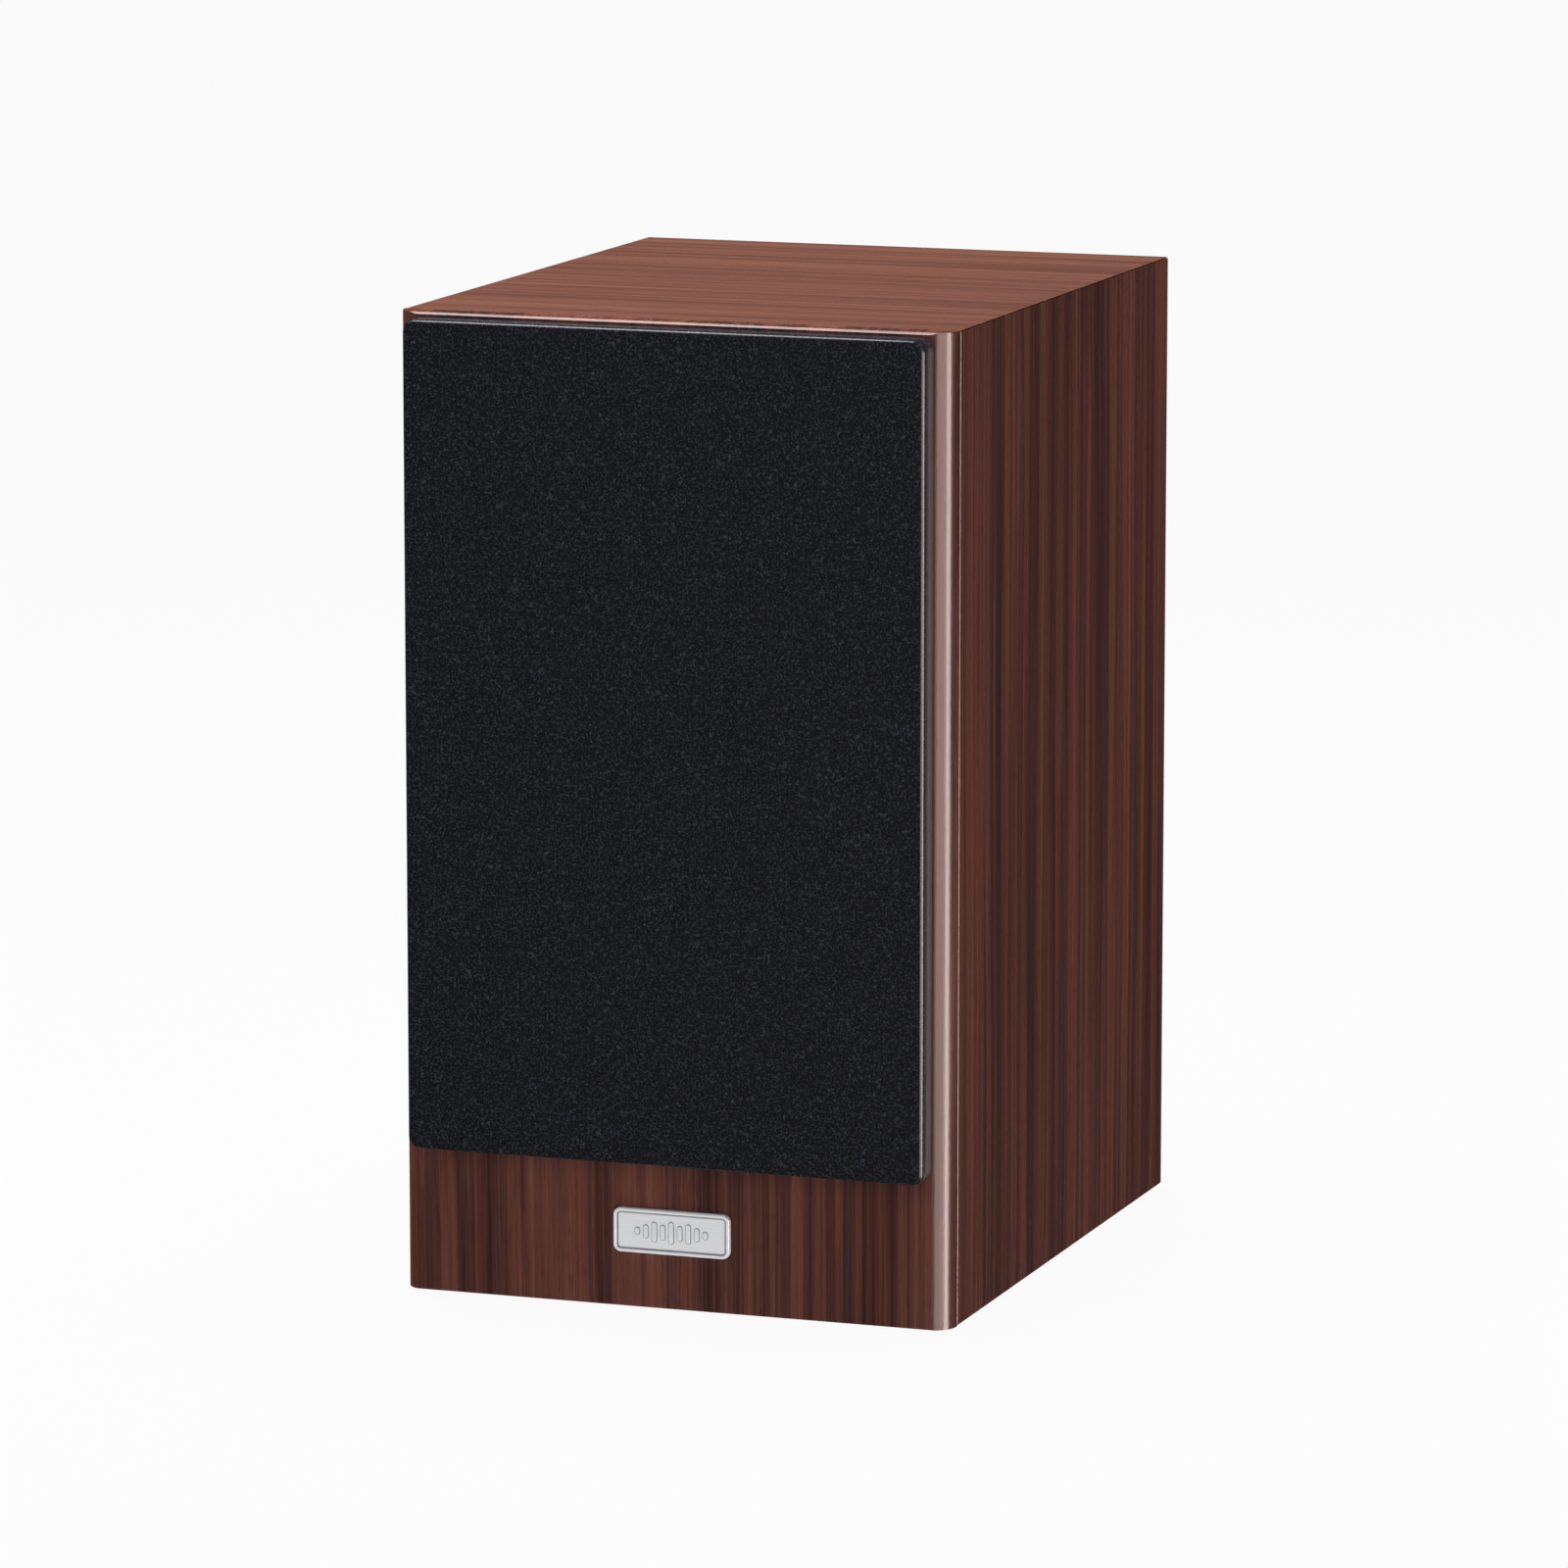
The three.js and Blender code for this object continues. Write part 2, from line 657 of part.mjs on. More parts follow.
// Dust cap: a shallow dome glued to the cone around the neck.
const capBall = (DUST_CAP.radius ** 2 + DUST_CAP.rise ** 2) / (2 * DUST_CAP.rise);
const capRim = coneDepth(DUST_CAP.radius) - GAP - DUST_CAP.lift;
const capEdge = DUST_CAP.radius - DUST_CAP.paper;
function capDepth(radius, ball) {
  return capRim - DUST_CAP.rise + capBall - Math.sqrt(ball ** 2 - radius ** 2);
}
const capRadii = Array.from({ length: 5 }, (_, i) => (DUST_CAP.radius * i) / 4);
add(
  "woofer_dust_cap",
  turned(
    [
      ...capRadii.map((radius) => [radius, capDepth(radius, capBall)]),
      ...[...capRadii].reverse().map((radius) => [
        Math.min(radius, capEdge), capDepth(Math.min(radius, capEdge), capBall - DUST_CAP.paper),
      ]),
    ],
    0,
    WOOFER.centreZ,
    24,
  ),
  MATERIALS.conePaper,
);

const coilBack = coneBack + COIL.length;
const coilInner = COIL.radius - COIL.wall;
add(
  "woofer_voice_coil",
  ring(coilInner, COIL.radius, coneBack - COIL.inNeck, coilBack, 0, WOOFER.centreZ, HIDDEN),
  MATERIALS.coilFormer,
);

// Surround: a half roll of rubber from the cone's rim to the basket's seat.
function surround() {
  const seat = flangeFront + WOOFER.seatDepth - GAP;
  const { roll, rubber, lip } = SURROUND;
  const centre = CONE.radius + SURROUND.fromCone + roll;
  const outer = WOOFER.seatRadius - WOOFER.sheet - GAP;
  const lipDepth = CONE.front - GAP;
  return turned(
    [
      [CONE.radius - lip, lipDepth - rubber],
      ...arc(centre, lipDepth - rubber, roll, 180, 360, 5),
      [outer, lipDepth - rubber],
      [outer, seat],
      [centre + roll - rubber, seat],
      ...arc(centre, lipDepth - rubber, roll - rubber, 350, 190, 3),
      [CONE.radius - GAP, lipDepth],
      [CONE.radius - lip, lipDepth - SURROUND.glueLine],
    ],
    0,
    WOOFER.centreZ,
  );
}
add("woofer_surround", surround(), MATERIALS.rubber);

// Spider: a corrugated cloth ring that centres the voice coil.
function spider() {
  const from = COIL.radius + GAP;
  const to = WOOFER.neckRadius - WOOFER.sheet - SPIDER.fromNeck;
  const depth = WOOFER.depth - SPIDER.fromBack;
  const { creases, creaseHeight, cloth } = SPIDER;
  const wave = Array.from({ length: creases + 1 }, (_, i) => {
    const height = i === 0 || i === creases ? 0 : creaseHeight * (i % 2 === 0 ? -1 : 1);
    return [from + ((to - from) * i) / creases, depth + height];
  });
  return turned([...wave, ...[...wave].reverse().map(([r, y]) => [r, y + cloth])], 0, WOOFER.centreZ, HIDDEN);
}
add("woofer_spider", spider(), MATERIALS.spider);

const topPlateFront = WOOFER.depth + GAP;
const magnetFront = topPlateFront + WOOFER_MOTOR.plate + GAP;
const backPlateFront = magnetFront + WOOFER_MOTOR.magnet + GAP;
const backPlateBack = backPlateFront + WOOFER_MOTOR.backPlate;
const plateBore = COIL.radius + RUNNING;
const poleRadius = coilInner - RUNNING;
add(
  "woofer_top_plate",
  ring(
    plateBore,
    WOOFER_MOTOR.plateRadius,
    topPlateFront,
    topPlateFront + WOOFER_MOTOR.plate,
    0,
    WOOFER.centreZ,
    HIDDEN,
  ),
  MATERIALS.blackSteel,
);
add(
  "woofer_magnet",
  ring(
    WOOFER_MOTOR.magnetBore,
    WOOFER_MOTOR.magnetRadius,
    magnetFront,
    magnetFront + WOOFER_MOTOR.magnet,
    0,
    WOOFER.centreZ,
    HIDDEN,
  ),
  MATERIALS.ferrite,
);
add(
  "woofer_back_plate",
  turned(
    [
      [WOOFER_MOTOR.vent, topPlateFront], [poleRadius, topPlateFront], [poleRadius, backPlateFront],
      [WOOFER_MOTOR.plateRadius, backPlateFront], [WOOFER_MOTOR.plateRadius, backPlateBack],
      [WOOFER_MOTOR.vent, backPlateBack],
    ],
    0,
    WOOFER.centreZ,
    HIDDEN,
  ),
  MATERIALS.blackSteel,
);

// ---------------------------------------------------------------- tweeter

const plateBack = flangeFront + TWEETER.throatDepth + TWEETER.throatWall;
const domeLipFront = plateBack + TWEETER.lipGap;
const domeLipBack = domeLipFront + TWEETER.silk;
const tweeterPlateFront = domeLipBack + TWEETER.lipGap;
const formerRadius = TWEETER.dome + TWEETER.former;

function tweeterFaceplate() {
  const horn = Array.from({ length: 6 }, (_, i) => {
    const share = i / 5;
    const radius = TWEETER.hornRadius + (TWEETER.throatRadius - TWEETER.hornRadius) * share;
    return [radius, flangeFront + TWEETER.throatDepth * (1 - Math.cos((share * Math.PI) / 2))];
  });
  const body = turned(
    [
      [TWEETER.radius, flangeFront],
      [TWEETER.radius, flangeFront + TWEETER.thickness],
      [TWEETER.hornRadius, flangeFront + TWEETER.thickness],
      [TWEETER.hornRadius, plateBack],
      [TWEETER_MOTOR.radius, plateBack],
      [TWEETER_MOTOR.radius, tweeterPlateFront - GAP],
      [TWEETER_MOTOR.radius - TWEETER.seatRim, tweeterPlateFront - GAP],
      [TWEETER_MOTOR.radius - TWEETER.seatRim, plateBack],
      [TWEETER.throatRadius, plateBack],
      ...[...horn].reverse(),
    ],
    0,
    TWEETER.centreZ,
  );
  return cut(body, tweeterScrews.map(([x, z]) => disc(SCREW.shank + GAP, -1, 9, x, z, 6)));
}
add("tweeter_faceplate", tweeterFaceplate(), MATERIALS.blackPlastic);

// Dome: a silk cap with its roll, its lip and the coil former, all one pressing.
function tweeterDome() {
  const { dome, domeHeight, silk } = TWEETER;
  const ball = (dome ** 2 + domeHeight ** 2) / (2 * domeHeight);
  const top = domeLipFront - domeHeight + TWEETER.domeSunk;
  const cap = (radius, inset) => top + ball - Math.sqrt((ball - inset) ** 2 - radius ** 2);
  const radii = Array.from({ length: 5 }, (_, i) => (dome * i) / 4);
  const rollCentre = dome + TWEETER.rollFromDome;
  const lip = rollCentre + TWEETER.lip;
  const formerBack = domeLipBack + TWEETER.formerLength;
  return turned(
    [
      ...radii.map((radius) => [radius, cap(radius, 0)]),
      [formerRadius, domeLipFront],
      ...arc(rollCentre, domeLipFront, TWEETER.roll, 180, 360, 4),
      [lip, domeLipFront],
      [lip, domeLipBack],
      [formerRadius, domeLipBack],
      [formerRadius, formerBack],
      [dome, formerBack],
      [dome, domeLipFront + 0.2],
      ...[...radii].reverse().slice(1).map((radius) => [radius, cap(radius, silk)]),
    ],
    0,
    TWEETER.centreZ,
    20,
  );
}
add("tweeter_dome", tweeterDome(), MATERIALS.silk);

const tweeterMagnetFront = tweeterPlateFront + TWEETER_MOTOR.plate + GAP;
const tweeterBackFront = tweeterMagnetFront + TWEETER_MOTOR.magnet + GAP;
add(
  "tweeter_top_plate",
  ring(
    formerRadius + RUNNING,
    TWEETER_MOTOR.radius,
    tweeterPlateFront,
    tweeterPlateFront + TWEETER_MOTOR.plate,
    0,
    TWEETER.centreZ,
    HIDDEN,
  ),
  MATERIALS.blackSteel,
);
add(
  "tweeter_magnet",
  ring(
    TWEETER_MOTOR.magnetBore,
    TWEETER_MOTOR.magnetRadius,
    tweeterMagnetFront,
    tweeterMagnetFront + TWEETER_MOTOR.magnet,
    0,
    TWEETER.centreZ,
    HIDDEN,
  ),
  MATERIALS.ferrite,
);
add(
  "tweeter_back_plate",
  turned(
    [
      [0, tweeterPlateFront + TWEETER.lipGap], [TWEETER.dome - RUNNING, tweeterPlateFront + TWEETER.lipGap],
      [TWEETER.dome - RUNNING, tweeterBackFront], [TWEETER_MOTOR.backRadius, tweeterBackFront],
      [TWEETER_MOTOR.backRadius, tweeterBackFront + TWEETER_MOTOR.backPlate],
      [0, tweeterBackFront + TWEETER_MOTOR.backPlate],
    ],
    0,
    TWEETER.centreZ,
    HIDDEN,
  ),
  MATERIALS.blackSteel,
);

// ---------------------------------------------------------------- screws

// A pan-head screw driven in from the front, or from the rear where it faces that way.
function screw(x, z, seat, facing) {
  const headFront = seat - GAP - SCREW.headHeight;
  const body = turned(
    [
      [0, headFront], [SCREW.crown, headFront], [SCREW.head, headFront + SCREW.rim], [SCREW.head, seat - GAP],
      [SCREW.shank, seat - GAP], [SCREW.shank, seat + SCREW.length - SCREW.tip], [0, seat + SCREW.length],
    ],
    0,
    0,
    8,
  );
  const driver = new THREE.CylinderGeometry(SCREW.socket, SCREW.socket, SCREW.socketDepth * 2, 6)
    .translate(0, headFront, 0);
  const made = cut(body, [driver]);
  if (facing < 0) made.rotateZ(Math.PI).translate(0, 2 * seat, 0);
  return made.translate(x, 0, z);
}

wooferScrews.forEach(([x, z], i) => {
  add("woofer_screw_" + (i + 1), screw(x, z, flangeFront, 1), MATERIALS.blackSteel);
});
tweeterScrews.forEach(([x, z], i) => {
  add("tweeter_screw_" + (i + 1), screw(x, z, flangeFront, 1), MATERIALS.blackSteel);
});

// ---------------------------------------------------------------- port

function portTube() {
  const outer = PORT.radius + PORT.wall;
  const seat = rearFace + GAP;
  const mouthBack = seat + PORT.flangeThickness;
  const inner = mouthBack - PORT.length;
  const flare = PORT.mouth - PORT.radius - PORT.wall;
  const mouth = arc(PORT.radius + flare, mouthBack - flare, flare, 180, 90, 5);
  return turned(
    [
      [PORT.innerMouth, inner],
      [PORT.innerMouth, inner + 2],
      [outer, inner + 8],
      [outer, seat - 14],
      [PORT.mouth, seat - 4],
      [PORT.mouth, seat],
      [PORT.flange, seat],
      [PORT.flange, mouthBack - PORT.flangeRound],
      [PORT.flange - PORT.flangeRound, mouthBack],
      ...mouth.reverse(),
      [PORT.radius, inner + 6],
      [PORT.radius + PORT.innerFlare, inner],
    ],
    0,
    PORT.centreZ,
  );
}
add("port_tube", portTube(), MATERIALS.blackPlastic);

// ---------------------------------------------------------------- terminals

const cupSeat = rearFace + GAP;
const cupFloor = cupSeat + TERMINAL.flange - TERMINAL.pocketDepth;

function terminalCup() {
  const rect = (grow) =>
    roundedRect(
      TERMINAL.pocketWidth + 2 * grow,
      TERMINAL.pocketHeight + 2 * grow,
      TERMINAL.cornerRadius - 2 + grow,
      0,
      TERMINAL.centreZ,
    );
  const flange = plate(
    roundedRect(TERMINAL.width, TERMINAL.height, TERMINAL.cornerRadius, 0, TERMINAL.centreZ),
    cupSeat,
    cupSeat + TERMINAL.flange,
  );
  const bowl = plate(rect(TERMINAL.wall), cupFloor - TERMINAL.wall, cupSeat + 1);
  return cut(join(flange, [bowl]), [
    plate(rect(0), cupFloor, cupSeat + TERMINAL.flange + 1),
    ...postPlaces.map(([x, z]) => disc(POST.stud + GAP, cupFloor - 5, cupFloor + 1, x, z, SMALL)),
    ...terminalScrews.map(([x, z]) => disc(SCREW.shank + GAP, cupSeat - 1, cupSeat + 5, x, z, 6)),
  ]);
}
add("terminal_cup", terminalCup(), MATERIALS.blackPlastic);

terminalScrews.forEach(([x, z], i) => {
  add(
    "terminal_screw_" + (i + 1),
    screw(x, z, cupSeat + TERMINAL.flange, -1),
    MATERIALS.blackSteel,
  );
});

const collarFront = cupFloor + GAP;
const washerFront = collarFront + POST.collarHeight + GAP;
const knobFront = washerFront + KNOB.washer + GAP;
const knobBack = knobFront + KNOB.length;
const studEnd = knobBack + POST.past;

// A metal post: inner tag, stud through the cup, collar, and a bore for a banana plug.
function bindingPost(x, z) {
  return turned(
    [
      [0, cupFloor - POST.inside], [POST.stud, cupFloor - POST.inside], [POST.stud, collarFront],
      [POST.collar, collarFront], [POST.collar, collarFront + POST.collarHeight],
      [POST.stud, collarFront + POST.collarHeight], [POST.stud, studEnd], [POST.banana, studEnd],
      [POST.banana, studEnd - POST.bananaDepth], [0, studEnd - POST.bananaDepth],
    ],
    x,
    z,
    SMALL,
  );
}

// A knurled plastic knob that screws along its post.
function bindingKnob(x, z) {
  const outline = new THREE.Shape();
  const steps = KNOB.flutes * 2;
  for (let i = 0; i < steps; i++) {
    const angle = (2 * Math.PI * i) / steps;
    const radius = KNOB.radius - (i % 2 === 0 ? KNOB.fluteDepth : 0);
    const point = [radius * Math.cos(angle), radius * Math.sin(angle)];
    if (i === 0) outline.moveTo(...point);
    else outline.lineTo(...point);
  }
  outline.closePath();
  const hole = new THREE.Path();
  hole.absarc(0, 0, POST.stud + RUNNING, 0, 2 * Math.PI, true);
  outline.holes.push(hole);
  return plate(outline, knobFront, knobBack, SMALL).translate(x, 0, z);
}

["black", "red"].forEach((colour, i) => {
  const [x, z] = postPlaces[i];
  add("terminal_post_" + colour, bindingPost(x, z), MATERIALS.gold);
  add(
    "terminal_washer_" + colour,
    ring(POST.stud + RUNNING, KNOB.washerRadius, washerFront, washerFront + KNOB.washer, x, z, SMALL),
    MATERIALS.gold,
  );
  const plastic = colour === "red" ? MATERIALS.redPlastic : MATERIALS.blackPlastic;
  add("terminal_knob_" + colour, bindingKnob(x, z), plastic);
});

// ---------------------------------------------------------------- crossover, wadding and leads

const floorZ = CABINET.wall;
const boardBottom = floorZ + GAP + BOARD.standoff;
const boardTop = boardBottom + BOARD.thickness;

function crossoverBoard() {
  const x = BOARD.width / 2;
  const y = BOARD.depth / 2;
  const slab = box([-x, BOARD.centreY - y, boardBottom], [x, BOARD.centreY + y, boardTop]);
  const feet = corners(x - BOARD.footInset, y - BOARD.footInset).map(([fx, fy]) =>
    new THREE.CylinderGeometry(BOARD.foot, BOARD.foot, BOARD.standoff + 0.5, 8)
      .rotateX(Math.PI / 2)
      .translate(fx, BOARD.centreY + fy, floorZ + GAP + (BOARD.standoff + 0.5) / 2));
  return join(slab, feet);
}
add("crossover_board", crossoverBoard(), MATERIALS.board);

// An air-core coil standing on the board.
function inductor({ x, fromCentre, inner, outer, height }) {
  return ring(inner, outer, 0, height, 0, 0, HIDDEN)
    .rotateX(-Math.PI / 2)
    .translate(x, BOARD.centreY + fromCentre, boardTop + GAP + height);
}
add("crossover_coil_woofer", inductor(WOOFER_INDUCTOR), MATERIALS.copper);
add("crossover_coil_tweeter", inductor(TWEETER_INDUCTOR), MATERIALS.copper);
const capacitor = new THREE.CylinderGeometry(CAPACITOR.radius, CAPACITOR.radius, CAPACITOR.length, HIDDEN)
  .rotateZ(Math.PI / 2)
  .translate(CAPACITOR.x, BOARD.centreY + CAPACITOR.fromCentre, boardTop + GAP + CAPACITOR.radius);
add("crossover_capacitor", capacitor, MATERIALS.film);

// Wadding: wedged between the side panels, behind the woofer's motor and over the terminal cup.
const wadBottom = TERMINAL.centreZ + TERMINAL.height / 2 + WADDING.aboveCup;
const wadTop = BRACE.centreZ - BRACE.thickness / 2 - WADDING.underBrace;
const wadding = plate(
  roundedRect(2 * (inside - GAP), wadTop - wadBottom, WADDING.cornerRadius, 0, (wadTop + wadBottom) / 2),
  backPlateBack + WADDING.fromMotor,
  cupFloor - WADDING.fromCup,
);
add("damping_wadding", wadding, MATERIALS.wadding);

// A lead clipped along its whole route inside the cabinet.
function lead(route) {
  const section = new THREE.Shape(
    circlePlaces(LEAD.sides, LEAD.radius, 0, 0, 0).map(([a, b]) => new THREE.Vector2(a, b)),
  );
  const path = new THREE.CatmullRomCurve3(route.map((p) => new THREE.Vector3(...p)));
  return new THREE.ExtrudeGeometry(section, { extrudePath: path, steps: LEAD.steps, bevelEnabled: false });
}
const boardFront = BOARD.centreY - BOARD.depth / 2;
const onBoard = boardTop + GAP + LEAD.radius;
const besideWall = inside - 6;

// To one arm of the woofer's basket, down and to the left of its middle.
add(
  "woofer_lead",
  lead([
    [-20, boardFront + 6, onBoard], [-34, boardFront - 8, onBoard + 10], [-48, boardFront - 26, 52],
    [-56, 80, 76], [-58, 62, 100], [-52, 47, 111], [-43.8, 44, WOOFER.centreZ - 25.3],
  ]),
  MATERIALS.copper,
);

// Up the right side panel, through the brace's window and over to the back of the tweeter.
add(
  "tweeter_lead",
  lead([
    [40, boardFront + 6, onBoard], [58, boardFront, onBoard + 6], [besideWall - 1, 106, 50],
    [besideWall, 94, 120], [besideWall, 91, 180], [besideWall - 26, 82, 208], [besideWall - 34, 66, 236],
    [26, 46, 254], [13, 36, 262], [12, tweeterBackFront + TWEETER_MOTOR.backPlate + 2 * GAP, 262],
  ]),
  MATERIALS.copper,
);

// From both posts, joined behind the cup, and down to the board.
const tailStart = POST.spacing / 2 - POST.stud - GAP;
const joint = [0, cupFloor - 12, TERMINAL.centreZ - 9];
const postTails = [-1, 1].map((side) =>
  lead([
    [side * tailStart, cupFloor - 7, TERMINAL.centreZ],
    [side * (tailStart - 5), cupFloor - 8, TERMINAL.centreZ - 2],
    joint,
  ]));
const downToBoard = lead([
  [0, cupFloor - 11, TERMINAL.centreZ - 7], joint, [0, cupFloor - 16, 60], [-6, cupFloor - 16, 36],
  [-14, BOARD.centreY + 30, onBoard],
]);
add("input_lead", join(downToBoard, postTails), MATERIALS.copper);

// ---------------------------------------------------------------- placing

const speaker = new THREE.Group();
pieces.position.set(0, -(CABINET.depth - GRILLE.proud) / 2, FOOT.height);
speaker.add(pieces);

export default speaker;
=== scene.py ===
# %% [markdown]
# # A two-way shelf speaker
#
# This scene dresses a shelf speaker: a dark walnut-foil cabinet with a pull-off cloth grille, a small
# metal badge, two drivers behind the grille, and a port and screw terminals at the back.
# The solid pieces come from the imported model. Everything here is in metres, +Z up, front towards -Y.

# %% Load the solid pieces
import math
import random

import bmesh
import bpy
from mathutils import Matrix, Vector
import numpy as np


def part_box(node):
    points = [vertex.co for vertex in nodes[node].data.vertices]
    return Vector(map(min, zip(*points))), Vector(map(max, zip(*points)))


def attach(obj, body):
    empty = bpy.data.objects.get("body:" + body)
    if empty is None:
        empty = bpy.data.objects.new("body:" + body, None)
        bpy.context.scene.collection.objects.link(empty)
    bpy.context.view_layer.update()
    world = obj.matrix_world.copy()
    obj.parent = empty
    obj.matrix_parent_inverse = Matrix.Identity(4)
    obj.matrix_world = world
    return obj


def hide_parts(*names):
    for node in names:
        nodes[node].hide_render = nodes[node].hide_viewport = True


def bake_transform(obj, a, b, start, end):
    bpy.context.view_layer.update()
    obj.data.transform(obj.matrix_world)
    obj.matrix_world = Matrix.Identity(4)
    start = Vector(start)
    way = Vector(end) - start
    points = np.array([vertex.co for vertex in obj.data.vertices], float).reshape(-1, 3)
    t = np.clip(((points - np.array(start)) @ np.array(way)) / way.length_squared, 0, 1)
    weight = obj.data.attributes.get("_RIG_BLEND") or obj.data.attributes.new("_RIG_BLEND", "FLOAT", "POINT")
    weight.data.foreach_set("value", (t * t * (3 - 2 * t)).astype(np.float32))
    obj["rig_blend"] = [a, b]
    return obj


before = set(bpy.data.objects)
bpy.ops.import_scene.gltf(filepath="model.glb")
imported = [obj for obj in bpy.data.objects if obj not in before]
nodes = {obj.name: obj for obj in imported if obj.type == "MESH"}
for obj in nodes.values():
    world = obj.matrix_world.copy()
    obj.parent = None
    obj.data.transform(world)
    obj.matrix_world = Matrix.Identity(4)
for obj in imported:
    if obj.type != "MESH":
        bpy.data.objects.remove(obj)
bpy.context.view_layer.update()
MM = 0.001

# %% [markdown]
# ## Camera
#
# The speaker is shown from a little to its right and a little above, from far away with a long lens, which
# keeps the upright edges almost parallel.

# %% Place the camera
LENS = 195.67
SENSOR = 36.0
CAMERA_PLACE = (0.9516, -2.7075, 0.6573)
CAMERA_PITCH = 80.17
CAMERA_YAW = 19.39

scene = bpy.context.scene
camera_data = bpy.data.cameras.new("catalogue_camera")
camera_data.lens = LENS
camera_data.sensor_width = SENSOR
camera_data.clip_end = 100.0
camera = bpy.data.objects.new("catalogue_camera", camera_data)
camera.location = CAMERA_PLACE
camera.rotation_euler = (math.radians(CAMERA_PITCH), 0.0, math.radians(CAMERA_YAW))
scene.collection.objects.link(camera)
scene.camera = camera
scene.view_settings.view_transform = "Standard"
scene.view_settings.look = "None"
print("camera at", CAMERA_PLACE)

# %% [markdown]
# ## Studio
#
# A pale floor runs to the horizon. The lamps come in two kinds. The fills spread light: a large box
# overhead lights the top far more than the sides, one at the left and a weak one at the right light the
# front, and a low one lifts the foot of the right side. Of these only the weak one can be mirrored. The
# others only make reflections: a narrow bright box draws the line down the baffle's rounded edge, a wide,
# warmer one lays a soft band beside it, and one high up draws the lines along the top edges. The two edge
# boxes stand too low for the flat top to mirror them at a low angle, so it keeps its colour. The floor is
# left out of mirror-like rays, because a dark surround keeps the foil's colour deep.

# %% Build the floor and the lamps
FLOOR_SIZE = 60.0


def studio_floor():
    mesh = bpy.data.meshes.new("studio_floor")
    half = FLOOR_SIZE / 2
    corners = [(-half, -half, 0), (half, -half, 0), (half, half, 0), (-half, half, 0)]
    mesh.from_pydata(corners, [], [(0, 1, 2, 3)])
    floor = bpy.data.objects.new("studio_floor", mesh)
    scene.collection.objects.link(floor)
    floor.visible_glossy = False
    floor.visible_shadow = False
    return floor


def softbox(name, place, target, size, power, colour=(1.0, 1.0, 1.0)):
    lamp = bpy.data.lights.new(name, "AREA")
    lamp.shape = "RECTANGLE"
    lamp.size, lamp.size_y = size
    lamp.energy = power
    lamp.color = colour
    holder = bpy.data.objects.new(name, lamp)
    holder.location = place
    holder.rotation_euler = (Vector(target) - Vector(place)).to_track_quat("-Z", "Y").to_euler()
    scene.collection.objects.link(holder)
    return holder


floor = studio_floor()
MIDDLE = (0.0, 0.0, 0.17)
EDGE_LAMP_HEIGHT = -0.13
EDGE = (0.0965, -0.11, EDGE_LAMP_HEIGHT)
RIGHT_FOOT = (0.0965, 0.05, 0.05)
CREAM = (1.0, 0.94, 0.9)
ROSE = (1.0, 0.78, 0.70)
softbox("right_front_fill", (1.2, -1.5, 0.7), MIDDLE, (1.3, 1.6), 4.0)
for lamp in (softbox("overhead_fill", (-0.12, 0.12, 1.7), MIDDLE, (1.0, 0.9), 62.0),
             softbox("left_front_fill", (-1.6, -2.2, 1.1), MIDDLE, (1.2, 1.6), 25.0),
             softbox("low_right_fill", (0.75, 0.02, 0.0), RIGHT_FOOT, (0.5, 0.3), 0.9)):
    lamp.visible_glossy = False
for lamp in (softbox("top_edge_softbox", (-0.55, -0.33, 1.7), MIDDLE, (0.9, 0.5), 16.0),
             softbox("edge_line_softbox", (1.03, -0.24, EDGE_LAMP_HEIGHT), EDGE, (0.36, 0.93), 15.0, CREAM),
             softbox("edge_band_softbox", (1.08, -1.10, EDGE_LAMP_HEIGHT), EDGE, (1.2, 0.93), 18.6, ROSE)):
    lamp.visible_diffuse = False

# %% [markdown]
# ## Node helpers
#
# Each effect that more than one finish shares is a node group with named inputs and outputs. These
# helpers only add nodes and join sockets, so that each finish below reads like a recipe.

# %% Helpers for shader nodes
def srgb(red, green, blue):
    """A screen colour, 0 to 255, as the linear colour that shaders use."""
    def linear(value):
        value /= 255
        return value / 12.92 if value <= 0.04045 else ((value + 0.055) / 1.055) ** 2.4
    return (linear(red), linear(green), linear(blue), 1.0)


def add(tree, kind, inputs=None, **settings):
    """Adds a node. An input is a socket to join or a value to set; settings are the node's own."""
    made = tree.nodes.new(kind)
    for key, value in settings.items():
        setattr(made, key, value)
    for key, value in (inputs or {}).items():
        socket = made.inputs[key]
        if isinstance(value, bpy.types.NodeSocket):
            tree.links.new(value, socket)
        else:
            socket.default_value = value
    return made


def maths(tree, operation, first, second=0.0):
    return add(tree, "ShaderNodeMath", {0: first, 1: second}, operation=operation).outputs[0]


# The mix node has sockets for several kinds of value; these are the places of the ones for colours.
MIX_FACTOR = 0
MIX_FIRST = 6
MIX_SECOND = 7
MIX_RESULT = 2


def blend_colours(tree, factor, first, second):
    inputs = {MIX_FACTOR: factor, MIX_FIRST: first, MIX_SECOND: second}
    return add(tree, "ShaderNodeMix", inputs, data_type="RGBA").outputs[MIX_RESULT]


def remap(tree, value, low, high, to_low=0.0, to_high=1.0):
    inputs = {"Value": value, "From Min": low, "From Max": high, "To Min": to_low, "To Max": to_high}
    return add(tree, "ShaderNodeMapRange", inputs).outputs["Result"]


def noise(tree, vector, scale, detail=2.0, roughness=0.5, distortion=0.0):
    inputs = {"Vector": vector, "Scale": scale, "Detail": detail, "Roughness": roughness,
              "Distortion": distortion}
    return add(tree, "ShaderNodeTexNoise", inputs).outputs["Fac"]


def stretch(tree, vector, scale):
    return add(tree, "ShaderNodeMapping", {"Vector": vector, "Scale": scale}).outputs["Vector"]


